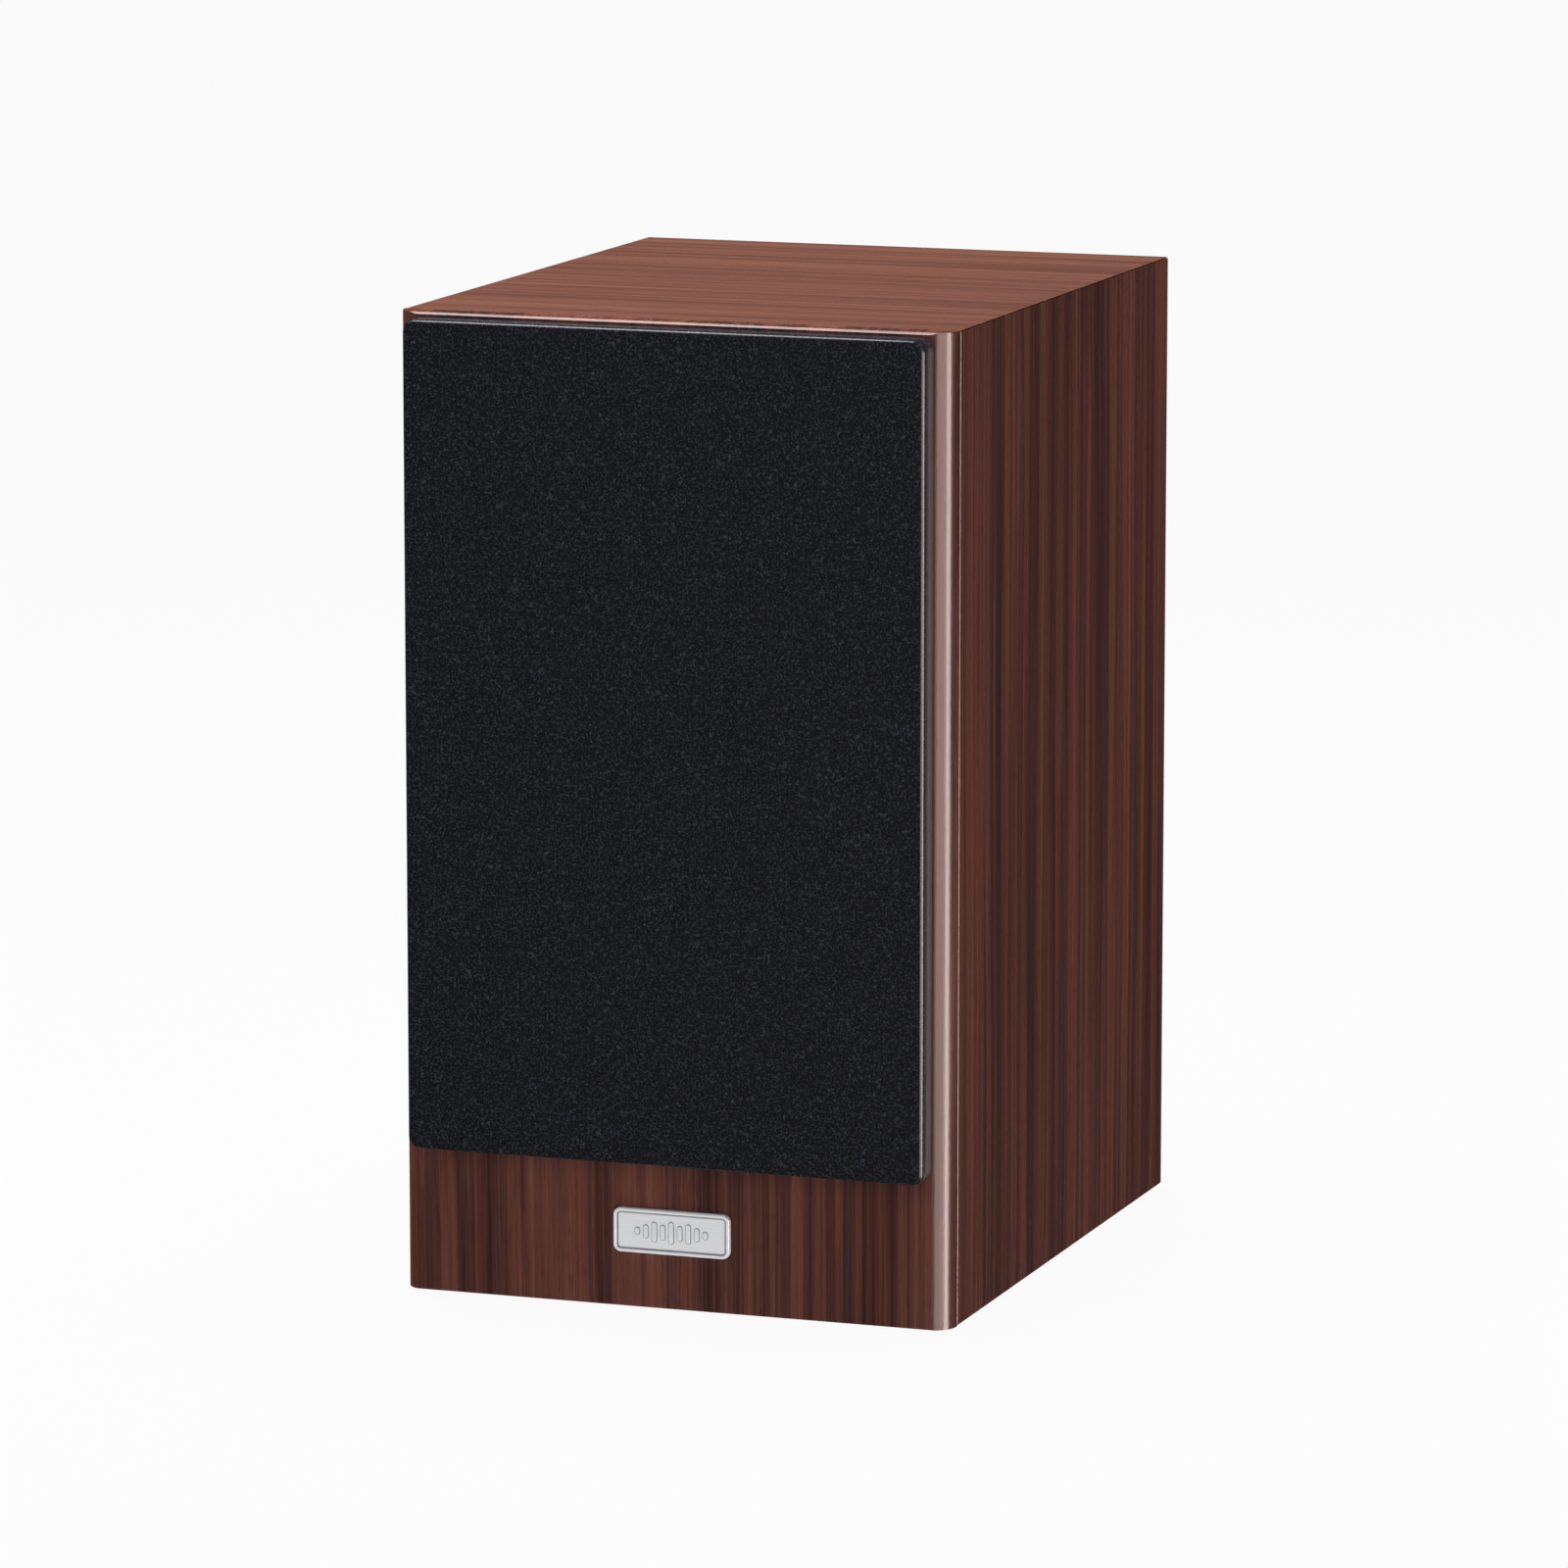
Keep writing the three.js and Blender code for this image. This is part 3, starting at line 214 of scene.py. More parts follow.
def new_group(name, inputs, outputs):
    """An empty node group with its sockets, and its input and output nodes."""
    group = bpy.data.node_groups.new(name, "ShaderNodeTree")
    for label, kind, value in inputs:
        socket = group.interface.new_socket(name=label, in_out="INPUT", socket_type="NodeSocket" + kind)
        if value is not None:
            socket.default_value = value
    for label, kind in outputs:
        group.interface.new_socket(name=label, in_out="OUTPUT", socket_type="NodeSocket" + kind)
    source = group.nodes.new("NodeGroupInput").outputs
    result = group.nodes.new("NodeGroupOutput").inputs
    return group, source, result


def give(group, result, **sockets):
    """Joins finished sockets to the group's outputs. Base_Color means the output Base Color."""
    for label, socket in sockets.items():
        group.links.new(socket, result[label.replace("_", " ")])


FULL_LOOK = [("Base Color", "Color"), ("Roughness", "Float"), ("Bump Height", "Float")]
print("helpers ready")

# %% [markdown]
# ## Shared effects
#
# **Straight grain.** The cabinet is wrapped in printed walnut foil. Its grain is straight and tight:
# millimetre streaks inside broader red and dark bands, with short dark pores. All of them are noise
# stretched along the grain, which runs along the group's Z. Slow noise bends the lines a little. The
# seed shifts the noise, so that each board has lines of its own.
#
# **Fine dust.** A very light, uneven film that no real surface is free of. It only lifts roughness and
# the colour a touch.

# %% Group: straight grain
# How fast each layer of noise runs: across the board, into it and along the grain, in waves a metre.
STREAKS = (1100.0, 1100.0, 8.0)
LINES = (420.0, 420.0, 3.0)
BANDS = (130.0, 130.0, 1.4)
CLOUDS = (22.0, 22.0, 1.0)
PORES = (2400.0, 2400.0, 130.0)
SLOW_BEND = (9.0, 9.0, 4.0)
BEND_WIDTH = 6.0 * MM


def straight_grain_group():
    group, source, result = new_group(
        "straight_grain",
        [("Vector", "Vector", None), ("Dark", "Color", (0, 0, 0, 1)), ("Middle", "Color", (0, 0, 0, 1)),
         ("Light", "Color", (0, 0, 0, 1)), ("Figure", "Float", 0.5), ("Seed", "Float", 0.0)],
        FULL_LOOK)
    shifted = add(group, "ShaderNodeCombineXYZ", {"X": source["Seed"], "Y": source["Seed"], "Z": 0.0})
    placed = add(group, "ShaderNodeVectorMath", {0: source["Vector"], 1: shifted.outputs[0]},
                 operation="ADD")
    place = placed.outputs[0]
    bend = noise(group, stretch(group, place, SLOW_BEND), 1.0, 1.0)
    bent = maths(group, "MULTIPLY", maths(group, "SUBTRACT", bend, 0.5), BEND_WIDTH)
    offset = add(group, "ShaderNodeCombineXYZ", {"X": bent, "Y": bent, "Z": 0.0}).outputs[0]
    along = add(group, "ShaderNodeVectorMath", {0: place, 1: offset}, operation="ADD").outputs[0]
    streaks = noise(group, stretch(group, along, STREAKS), 1.0, 3.0, 0.65)
    lines = noise(group, stretch(group, along, LINES), 1.0, 2.0, 0.55)
    bands = noise(group, stretch(group, along, BANDS), 1.0, 2.0, 0.5)
    clouds = noise(group, stretch(group, along, CLOUDS), 1.0, 1.0)
    pores = noise(group, stretch(group, along, PORES), 1.0, 1.0)
    faint_streaks = maths(group, "MULTIPLY", streaks, 0.36)
    faint_lines = maths(group, "MULTIPLY", lines, 0.40)
    small = maths(group, "ADD", faint_streaks, faint_lines)
    banded = remap(group, bands, 0.30, 0.70)
    figure = maths(group, "MULTIPLY", maths(group, "SUBTRACT", banded, 0.5), source["Figure"])
    cloudy = maths(group, "MULTIPLY", clouds, 0.24)
    mixed = maths(group, "ADD", maths(group, "ADD", small, cloudy), maths(group, "MULTIPLY", figure, 0.26))
    low = remap(group, mixed, 0.36, 0.52)
    high = remap(group, mixed, 0.50, 0.70)
    colour = blend_colours(group, low, source["Dark"], source["Middle"])
    colour = blend_colours(group, high, colour, source["Light"])
    pore = remap(group, pores, 0.58, 0.70)
    colour = blend_colours(group, maths(group, "MULTIPLY", pore, 0.45), colour, source["Dark"])
    give(group, result,
         Base_Color=colour,
         Roughness=remap(group, small, 0.28, 0.48, 0.21, 0.29),
         Bump_Height=maths(group, "SUBTRACT", maths(group, "MULTIPLY", streaks, 0.4), pore))
    return group


STRAIGHT_GRAIN = straight_grain_group()


# %% Group: fine dust
def fine_dust_group():
    group, source, result = new_group(
        "fine_dust",
        [("Base Color", "Color", (0, 0, 0, 1)), ("Roughness", "Float", 0.5), ("Amount", "Float", 0.1)],
        [("Base Color", "Color"), ("Roughness", "Float")])
    place = add(group, "ShaderNodeTexCoord").outputs["Object"]
    patches = noise(group, place, 30.0, 4.0, 0.6)
    specks = remap(group, noise(group, place, 2600.0, 1.0), 0.66, 0.74)
    film = maths(group, "ADD", remap(group, patches, 0.4, 0.7), specks)
    share = maths(group, "MULTIPLY", film, source["Amount"])
    give(group, result,
         Base_Color=blend_colours(group, share, source["Base Color"], srgb(150, 146, 140)),
         Roughness=maths(group, "ADD", source["Roughness"], maths(group, "MULTIPLY", share, 0.6)))
    return group


FINE_DUST = fine_dust_group()
print("groups:", [group.name for group in bpy.data.node_groups])


# %% [markdown]
# ## More shared effects
#
# **Knit.** Acoustic cloth is a fine open knit of matt black yarn. Rows of loops under a millimetre wide
# catch the light one by one, and here and there a stray fibre glints, which reads as a faint speckle.
#
# **Moulded skin.** Plastic parts carry the fine spark texture of their mould.
#
# **Brushed.** Fine parallel scratches from finishing with an abrasive belt.
#
# ** Turned rings.** Concentric tool marks, or the turns of a winding, around the front-to-back axis. The
# grooves between them are coloured darker, which is painted shade.

# %% Group: knit
YARN_FUZZ = 1500.0
LOOP_GLINTS = 1250.0
STRAY_FIBRES = 700.0


def knit_group():
    group, source, result = new_group(
        "knit",
        [("Vector", "Vector", None), ("Yarn", "Color", (0, 0, 0, 1)), ("Highlight", "Color", (0, 0, 0, 1)),
         ("Pitch", "Float", 0.0007)],
        FULL_LOOK)
    loops_per_metre = maths(group, "DIVIDE", math.tau, source["Pitch"])
    apart = add(group, "ShaderNodeSeparateXYZ", {0: source["Vector"]}).outputs
    sideways = maths(group, "ADD", apart["X"], apart["Y"])
    across = maths(group, "SINE", maths(group, "MULTIPLY", sideways, loops_per_metre))
    upright = maths(group, "SINE", maths(group, "MULTIPLY", apart["Z"], loops_per_metre))
    loops = remap(group, maths(group, "MULTIPLY", across, upright), -1.0, 1.0)
    yarn = noise(group, source["Vector"], YARN_FUZZ, 2.0, 0.7)
    speckle = remap(group, noise(group, source["Vector"], LOOP_GLINTS, 2.0, 0.7), 0.52, 0.72)
    stray = remap(group, noise(group, source["Vector"], STRAY_FIBRES, 2.0, 0.8), 0.60, 0.70)
    glint = maths(group, "ADD", maths(group, "MULTIPLY", speckle, 0.7), maths(group, "MULTIPLY", stray, 0.6))
    colour = blend_colours(group, glint, source["Yarn"], source["Highlight"])
    height = maths(group, "ADD", maths(group, "MULTIPLY", loops, 0.6), maths(group, "MULTIPLY", yarn, 0.8))
    give(group, result,
         Base_Color=colour,
         Roughness=remap(group, yarn, 0.3, 0.7, 0.75, 0.95),
         Bump_Height=height)
    return group


KNIT = knit_group()


# %% Groups: moulded skin, brushed and turned rings
def moulded_skin_group():
    group, source, result = new_group(
        "moulded_skin",
        [("Base Color", "Color", (0, 0, 0, 1)), ("Roughness", "Float", 0.5), ("Grain", "Float", 0.0004)],
        FULL_LOOK)
    place = add(group, "ShaderNodeTexCoord").outputs["Object"]
    grains = noise(group, place, maths(group, "DIVIDE", 1.0, source["Grain"]), 2.0, 0.6)
    sheen = noise(group, place, 22.0, 3.0)
    lighter = remap(group, grains, 0.35, 0.75, 0.0, 0.10)
    give(group, result,
         Base_Color=blend_colours(group, lighter, source["Base Color"], srgb(120, 120, 122)),
         Roughness=maths(group, "ADD", source["Roughness"], remap(group, sheen, 0.3, 0.7, -0.06, 0.06)),
         Bump_Height=grains)
    return group


def brushed_group():
    group, source, result = new_group(
        "brushed",
        [("Base Color", "Color", (0, 0, 0, 1)), ("Roughness", "Float", 0.3), ("Scratches", "Vector", None)],
        FULL_LOOK)
    place = add(group, "ShaderNodeTexCoord").outputs["Object"]
    scaled = add(group, "ShaderNodeVectorMath", {0: place, 1: source["Scratches"]}, operation="MULTIPLY")
    lines = noise(group, scaled.outputs[0], 1.0, 4.0, 0.7)
    give(group, result,
         Base_Color=blend_colours(group, remap(group, lines, 0.3, 0.7, 0.0, 0.18), source["Base Color"],
                                  srgb(90, 90, 92)),
         Roughness=maths(group, "ADD", source["Roughness"], remap(group, lines, 0.3, 0.7, -0.08, 0.1)),
         Bump_Height=lines)
    return group


def turned_rings_group():
    group, source, result = new_group(
        "turned_rings",
        [("Vector", "Vector", None), ("Base Color", "Color", (0, 0, 0, 1)),
         ("Groove Shade", "Color", (0, 0, 0, 1)), ("Pitch", "Float", 0.0006), ("Roughness", "Float", 0.35)],
        FULL_LOOK)
    flat = add(group, "ShaderNodeVectorMath", {0: source["Vector"], 1: (1.0, 0.0, 1.0)},
               operation="MULTIPLY")
    radius = add(group, "ShaderNodeVectorMath", {0: flat.outputs[0]}, operation="LENGTH").outputs["Value"]
    turns = maths(group, "MULTIPLY", radius, maths(group, "DIVIDE", math.tau, source["Pitch"]))
    ridges = remap(group, maths(group, "SINE", turns), -1.0, 1.0)
    uneven = noise(group, source["Vector"], 90.0, 3.0)
    depth = maths(group, "MULTIPLY", ridges, uneven)
    # Painted shade: the grooves between the rings take the darker groove colour.
    give(group, result,
         Base_Color=blend_colours(group, remap(group, depth, 0.1, 0.5), source["Groove Shade"],
                                  source["Base Color"]),
         Roughness=maths(group, "ADD", source["Roughness"], remap(group, uneven, 0.3, 0.7, -0.08, 0.08)),
         Bump_Height=ridges)
    return group


MOULDED_SKIN = moulded_skin_group()
BRUSHED = brushed_group()
TURNED_RINGS = turned_rings_group()
print("groups:", len(bpy.data.node_groups))

# %% [markdown]
# ## Finishes
#
# Every finish ends in one principled shader. The dust group sits last, so that it covers whatever the
# finish below it is.

# %% A finish from a group
def finish(name, group, inputs, bump=0.1, bump_size=0.0002, dust=0.04, metallic=0.0, turn=None,
           centre=None, scale=None, **shader_inputs):
    """A material: group, then dust, then the shader. turn, centre and scale change the coordinates."""
    material = bpy.data.materials.new(name)
    material.use_nodes = True
    tree = material.node_tree
    shader = tree.nodes["Principled BSDF"]
    values = dict(inputs)
    if "Vector" in group.interface.items_tree:
        place = add(tree, "ShaderNodeTexCoord").outputs["Object"]
        if turn or centre or scale:
            mapping = {"Vector": place, "Rotation": turn or (0, 0, 0), "Location": centre or (0, 0, 0),
                       "Scale": scale or (1, 1, 1)}
            place = add(tree, "ShaderNodeMapping", mapping).outputs["Vector"]
        values["Vector"] = place
    look = add(tree, "ShaderNodeGroup", values, node_tree=group)
    over = add(tree, "ShaderNodeGroup",
               {"Base Color": look.outputs["Base Color"], "Roughness": look.outputs["Roughness"],
                "Amount": dust},
               node_tree=FINE_DUST)
    tree.links.new(over.outputs["Base Color"], shader.inputs["Base Color"])
    tree.links.new(over.outputs["Roughness"], shader.inputs["Roughness"])
    relief = add(tree, "ShaderNodeBump", {"Height": look.outputs["Bump Height"], "Strength": bump,
                                          "Distance": bump_size})
    tree.links.new(relief.outputs["Normal"], shader.inputs["Normal"])
    shader.inputs["Metallic"].default_value = metallic
    for label, value in shader_inputs.items():
        shader.inputs[label.replace("_", " ")].default_value = value
    return material


def dress(material, *names):
    for name in names:
        nodes[name].data.materials.clear()
        nodes[name].data.materials.append(material)


# %% [markdown]
# ### Walnut foil
#
# One printed foil wraps the whole cabinet. On the sides and the baffle its grain stands upright; on
# the top and bottom it runs across, as the foil wraps round from the sides. A thin lacquer gives a soft
# sheen. Each board has three tones: the top's are paler and browner than the sides', which is painted
# light, and the baffle's are darker, which is painted shade; the baffle has the strongest figure. The
# baffle's noise is slower along its depth, so that the streaks on its top end run from front to back.

# %% Walnut foil on the panels and the baffle
# One foil in three sets of tones: the top's paler tones are painted light, the baffle's darker ones painted
# shade.
SIDE_TONES = (srgb(66, 37, 33), srgb(98, 55, 46), srgb(122, 72, 57))
BAFFLE_TONES = (srgb(58, 31, 27), srgb(90, 50, 42), srgb(116, 68, 54))
TOP_TONES = (srgb(83, 52, 44), srgb(102, 65, 54), srgb(118, 79, 64))
SIDEWAYS = (0.0, math.radians(90), 0.0)
OVER_THE_EDGE = (1.0, 0.25, 1.0)


def walnut(name, tones, seed, figure, **placing):
    dark, middle, light = tones
    return finish(name, STRAIGHT_GRAIN,
                  {"Dark": dark, "Middle": middle, "Light": light, "Figure": figure, "Seed": seed},
                  bump=0.08, bump_size=0.0001, dust=0.004, **placing)


dress(walnut("walnut_foil_sides", SIDE_TONES, 0.37, 0.95), "left_side_panel", "right_side_panel")
dress(walnut("walnut_foil_baffle", BAFFLE_TONES, 1.21, 1.0, scale=OVER_THE_EDGE), "front_baffle")
dress(walnut("walnut_foil_top", TOP_TONES, 2.05, 0.6, turn=SIDEWAYS), "top_panel", "bottom_panel")
print("walnut foil on five boards")

# %% [markdown]
# ### Plastics, rubbers and metals
#
# The rear panel is black foil with a fine skin, and the port, cup and grille frame are moulded. Driver
# baskets are powder coated steel. The motors are turned steel and ground ferrite.

# %% Plastic, rubber, steel and the rest
def moulded(name, colour, roughness, grain=0.0004, bump=0.15, dust=0.05, **more):
    return finish(name, MOULDED_SKIN, {"Base Color": colour, "Roughness": roughness, "Grain": grain},
                  bump=bump, bump_size=0.0001, dust=dust, **more)


def turned(name, colour, groove, pitch, roughness, middle, metallic=1.0, **more):
    centre = (-middle[0], -middle[1], -middle[2])
    return finish(name, TURNED_RINGS,
                  {"Base Color": colour, "Groove Shade": groove, "Pitch": pitch, "Roughness": roughness},
                  centre=centre, metallic=metallic, bump_size=0.00005, **more)


def middle_of(name):
    low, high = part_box(name)
    return (low + high) / 2


woofer_middle = middle_of("woofer_basket")
tweeter_middle = middle_of("tweeter_faceplate")
BLACK_PLASTIC = srgb(34, 34, 36)
BLACK_STEEL = srgb(60, 60, 64)
STEEL_GROOVE_SHADE = srgb(38, 38, 40)
TOOL_MARKS = 0.6 * MM

dress(moulded("rear_foil", srgb(38, 36, 36), 0.55, grain=0.0007), "rear_panel")
dress(moulded("frame_plastic", BLACK_PLASTIC, 0.5), "grille_frame")
dress(moulded("port_plastic", BLACK_PLASTIC, 0.38, grain=0.0003), "port_tube")
dress(moulded("cup_plastic", srgb(30, 30, 32), 0.32, grain=0.0003), "terminal_cup")
dress(moulded("faceplate_plastic", srgb(30, 30, 33), 0.36, grain=0.00025, bump=0.08), "tweeter_faceplate")
dress(moulded("bare_fibreboard", srgb(176, 142, 104), 0.9, grain=0.0009, bump=0.4), "cabinet_brace")
dress(moulded("foot_rubber", srgb(24, 24, 25), 0.85, grain=0.0006, bump=0.3),
      *[name for name in nodes if name.startswith("rubber_foot")])
dress(moulded("socket_rubber", srgb(20, 20, 21), 0.7), *[name for name in nodes if "socket" in name])
dress(moulded("gasket_foam", srgb(30, 30, 30), 0.95, grain=0.0008, bump=0.5), "woofer_gasket")
dress(moulded("basket_powder_coat", srgb(30, 30, 32), 0.42, grain=0.00035, bump=0.25, metallic=0.3),
      "woofer_basket")
dress(moulded("screw_black", srgb(36, 36, 38), 0.35, grain=0.0003, metallic=0.7),
      *[name for name in nodes if "_screw_" in name])
dress(moulded("knob_black_plastic", srgb(26, 26, 28), 0.35), "terminal_knob_black")
dress(moulded("knob_red_plastic", srgb(168, 26, 24), 0.33), "terminal_knob_red")
dress(moulded("ferrite", srgb(62, 61, 64), 0.65, grain=0.0006, bump=0.3),
      "woofer_magnet", "tweeter_magnet")
dress(turned("woofer_steel", BLACK_STEEL, STEEL_GROOVE_SHADE, TOOL_MARKS, 0.4, woofer_middle),
      "woofer_top_plate", "woofer_back_plate")
dress(turned("tweeter_steel", BLACK_STEEL, STEEL_GROOVE_SHADE, TOOL_MARKS, 0.4, tweeter_middle),
      "tweeter_top_plate", "tweeter_back_plate")
for colour in ("black", "red"):
    brass = turned("plated_brass_" + colour, srgb(214, 176, 92), srgb(170, 128, 54), 0.0005, 0.24,
                   middle_of("terminal_post_" + colour))
    dress(brass, "terminal_post_" + colour, "terminal_washer_" + colour)
print("finished so far:", len(bpy.data.materials))

# %% [markdown]
# ### Inside pieces
#
# Nobody sees the crossover, the leads or the spider unless the cabinet is opened, but each still gets
# its real finish: enamelled windings, coated board, film and soft jackets.

# %% Crossover, leads, voice coil and spider
for name in ("crossover_coil_woofer", "crossover_coil_tweeter"):
    middle = middle_of(name)
    dress(finish(name + "_wire", TURNED_RINGS,
                 {"Base Color": srgb(196, 112, 62), "Groove Shade": srgb(92, 40, 20), "Pitch": 0.0011,
                  "Roughness": 0.3},
                 turn=(math.radians(90), 0, 0), centre=(-middle[0], middle[2], -middle[1]),
                 metallic=0.8, bump=0.5, bump_size=0.0003), name)
dress(moulded("board_coating", srgb(38, 84, 52), 0.4, grain=0.0005), "crossover_board")
dress(moulded("capacitor_film", srgb(196, 172, 60), 0.35, grain=0.0012), "crossover_capacitor")
dress(moulded("red_jacket", srgb(150, 30, 26), 0.5), "woofer_lead", "tweeter_lead", "input_lead")
dress(turned("voice_coil_wire", srgb(190, 108, 60), srgb(96, 44, 22), 0.0003, 0.3, woofer_middle),
      "woofer_voice_coil")
spider_cloth = finish("spider_cloth", KNIT,
                      {"Yarn": srgb(196, 160, 92), "Highlight": srgb(226, 196, 132), "Pitch": 0.0008},
                      bump=0.6, bump_size=0.0003, dust=0.05)
print("inside pieces dressed")

# %% [markdown]
# ### The drivers
#
# The woofer's cone is black coated pulp: felted fibres under a thin satin film. The surround is soft
# rubber. The tweeter's dome is woven silk under a slightly tacky damping coat.

# %% Cone, cap, surround and dome
dress(moulded("coated_pulp", srgb(30, 31, 35), 0.55, grain=0.0011, bump=0.45, dust=0.06),
      "woofer_cone", "woofer_dust_cap")
surround_rubber = moulded("surround_rubber", srgb(22, 22, 23), 0.5, grain=0.0003, bump=0.1, dust=0.08)
dress(finish("damped_silk", KNIT,
             {"Yarn": srgb(26, 27, 32), "Highlight": srgb(44, 46, 54), "Pitch": 0.0004},
             bump=0.35, bump_size=0.0001, dust=0.03, Coat_Weight=0.3, Coat_Roughness=0.35), "tweeter_dome")
print("drivers dressed")

# %% [markdown]
# ## Smooth and soften the solid pieces
#
# Real edges are never knife sharp. The solid pieces are made of flat facets, so each one is given a tiny
# bevel where it has a real edge, and its rounds are shaded smooth. A small node group does the shading:
# it marks every edge sharper than an angle and smooths the rest. At the end the large flat faces lead, so
# that the bevels beside them don't tint them.

# %% Modifiers for the solid pieces
def smooth_by_angle_group():
    group = bpy.data.node_groups.new("smooth_by_angle", "GeometryNodeTree")
    group.interface.new_socket(name="Geometry", in_out="INPUT", socket_type="NodeSocketGeometry")
    group.interface.new_socket(name="Angle", in_out="INPUT", socket_type="NodeSocketFloat")
    group.interface.new_socket(name="Geometry", in_out="OUTPUT", socket_type="NodeSocketGeometry")
    source = group.nodes.new("NodeGroupInput").outputs
    result = group.nodes.new("NodeGroupOutput").inputs
    faces = group.nodes.new("GeometryNodeSetShadeSmooth")
    edges = group.nodes.new("GeometryNodeSetShadeSmooth")
    faces.domain = "FACE"
    edges.domain = "EDGE"
    edges.inputs["Shade Smooth"].default_value = False
    angle = group.nodes.new("GeometryNodeInputMeshEdgeAngle")
    sharp = group.nodes.new("FunctionNodeCompare")
    sharp.operation = "GREATER_THAN"
    for start, end in ((source["Geometry"], faces.inputs["Geometry"]),
                       (faces.outputs["Geometry"], edges.inputs["Geometry"]),
                       (angle.outputs["Unsigned Angle"], sharp.inputs[0]),
                       (source["Angle"], sharp.inputs[1]),
                       (sharp.outputs["Result"], edges.inputs["Selection"]),
                       (edges.outputs["Geometry"], result["Geometry"])):
        group.links.new(start, end)
    return group


SMOOTH_BY_ANGLE = smooth_by_angle_group()


SHARP_ANGLE = 32
FACET_GAP = 0.005 * MM
FLAT_ANGLE = 0.6


def shade(piece, angle=SHARP_ANGLE):
    modifier = piece.modifiers.new("shade", "NODES")
    modifier.node_group = SMOOTH_BY_ANGLE
    socket = SMOOTH_BY_ANGLE.interface.items_tree["Angle"]
    modifier[socket.identifier] = math.radians(angle)


def soften(name, width, segments=2):
    """Joins the facets, merges flat neighbours, bevels the real edges and keeps the flats looking flat."""
    piece = nodes[name]
    weld = piece.modifiers.new("weld", "WELD")
    weld.merge_threshold = FACET_GAP
    flatten = piece.modifiers.new("merge_flat_facets", "DECIMATE")
    flatten.decimate_type = "DISSOLVE"
    flatten.angle_limit = math.radians(FLAT_ANGLE)
    bevel = piece.modifiers.new("edge", "BEVEL")
    bevel.width = width
    bevel.segments = segments
    bevel.limit_method = "ANGLE"
    bevel.angle_limit = math.radians(SHARP_ANGLE)
    shade(piece)
    flats = piece.modifiers.new("flat_faces_lead", "WEIGHTED_NORMAL")
    flats.keep_sharp = True


BOARD_EDGE = 0.15 * MM
BAFFLE_EDGE = 0.3 * MM
MOULDED_EDGE = 0.3 * MM
SMALL_EDGE = 0.12 * MM
for name in ("top_panel", "bottom_panel", "left_side_panel", "right_side_panel", "rear_panel"):
    soften(name, BOARD_EDGE)
soften("front_baffle", BAFFLE_EDGE, segments=3)
for name in ("terminal_cup", "port_tube", "grille_frame", "woofer_basket", "tweeter_faceplate"):
    soften(name, MOULDED_EDGE)
for name in nodes:
    if not nodes[name].modifiers:
        soften(name, SMALL_EDGE)
print("softened", len(nodes), "pieces")

# %% [markdown]
# ## Grille cloth
#
# One piece of knit is pulled tight over the frame's front, round its edges and down its sides, and glued
# behind, where its hem lies hidden and isn't made. Pulled cloth rounds over the frame's edge, so the sheet
# follows a rounded profile. It is built ring by ring, from the frame's back to the middle of its front.
# Each ring is a rounded rectangle.

# %% Helpers for sheets made of rings
CORNERS = ((1, 1), (-1, 1), (-1, -1), (1, -1))


def rounded_rectangle(width, height, radius, per_corner, per_side):
    """Points round a rectangle, anticlockwise, as (across, up) pairs. The last two are numbers of steps."""
    def on_arc(corner, quarters):
        across, up = CORNERS[corner % 4]
        middle = Vector((across * (width / 2 - radius), up * (height / 2 - radius)))
        angle = math.radians(90 * quarters)
        return middle + radius * Vector((math.cos(angle), math.sin(angle)))

    points = []
    for corner in range(4):
        points += [on_arc(corner, corner + step / per_corner) for step in range(per_corner + 1)]
        last = points[-1]
        next_start = on_arc(corner + 1, corner + 1)
        points += [last.lerp(next_start, step / per_side) for step in range(1, per_side)]
    return points


def bridge(mesh, first, second):
    """Faces between two rings with the same number of vertices."""
    count = len(first)
    for i in range(count):
        mesh.faces.new((first[i], first[(i + 1) % count], second[(i + 1) % count], second[i]))


def to_object(mesh, name, material, body=None):
    """The mesh as a named piece that rides on a body, if one is given."""
    bmesh.ops.recalc_face_normals(mesh, faces=mesh.faces)
    data = bpy.data.meshes.new(name)
    mesh.to_mesh(data)
    mesh.free()
    data.shade_smooth()
    data.materials.append(material)
    piece = bpy.data.objects.new(name, data)
    scene.collection.objects.link(piece)
    if body:
        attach(piece, body)
    return piece


# %% Build the cloth
CLOTH_CORNER = 4.0 * MM
CLOTH_EDGE = 1.4 * MM
SMALLEST_CORNER = 0.4 * MM
EDGE_RINGS = 8
FRONT_INSETS = (6, 12, 24, 42, 64, 84)
cloth_low, cloth_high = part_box("grille_cloth")
cloth_size = cloth_high - cloth_low
cloth_middle = (cloth_low + cloth_high) / 2


def cloth_ring(mesh, inset, depth):
    """One ring of the sheet, inset from the outline, at a depth behind the cloth's front."""
    radius = max(CLOTH_CORNER - inset, SMALLEST_CORNER)
    outline = rounded_rectangle(cloth_size.x - 2 * inset, cloth_size.z - 2 * inset, radius,
                                per_corner=6, per_side=24)
    return [mesh.verts.new((cloth_middle.x + p.x, cloth_low.y + depth, cloth_middle.z + p.y))
            for p in outline]


def grille_cloth():
    mesh = bmesh.new()
    profile = [(0.0, cloth_size.y), (0.0, cloth_size.y * 0.7), (0.0, CLOTH_EDGE)]
    for step in range(1, EDGE_RINGS + 1):
        angle = math.radians(90 * step / EDGE_RINGS)
        profile.append((CLOTH_EDGE * (1 - math.cos(angle)), CLOTH_EDGE * (1 - math.sin(angle))))
    profile += [(inset * MM, 0.0) for inset in FRONT_INSETS]
    rings = [cloth_ring(mesh, inset, depth) for inset, depth in profile]
    for first, second in zip(rings, rings[1:]):
        bridge(mesh, first, second)
    mesh.faces.new(rings[-1])
    return mesh


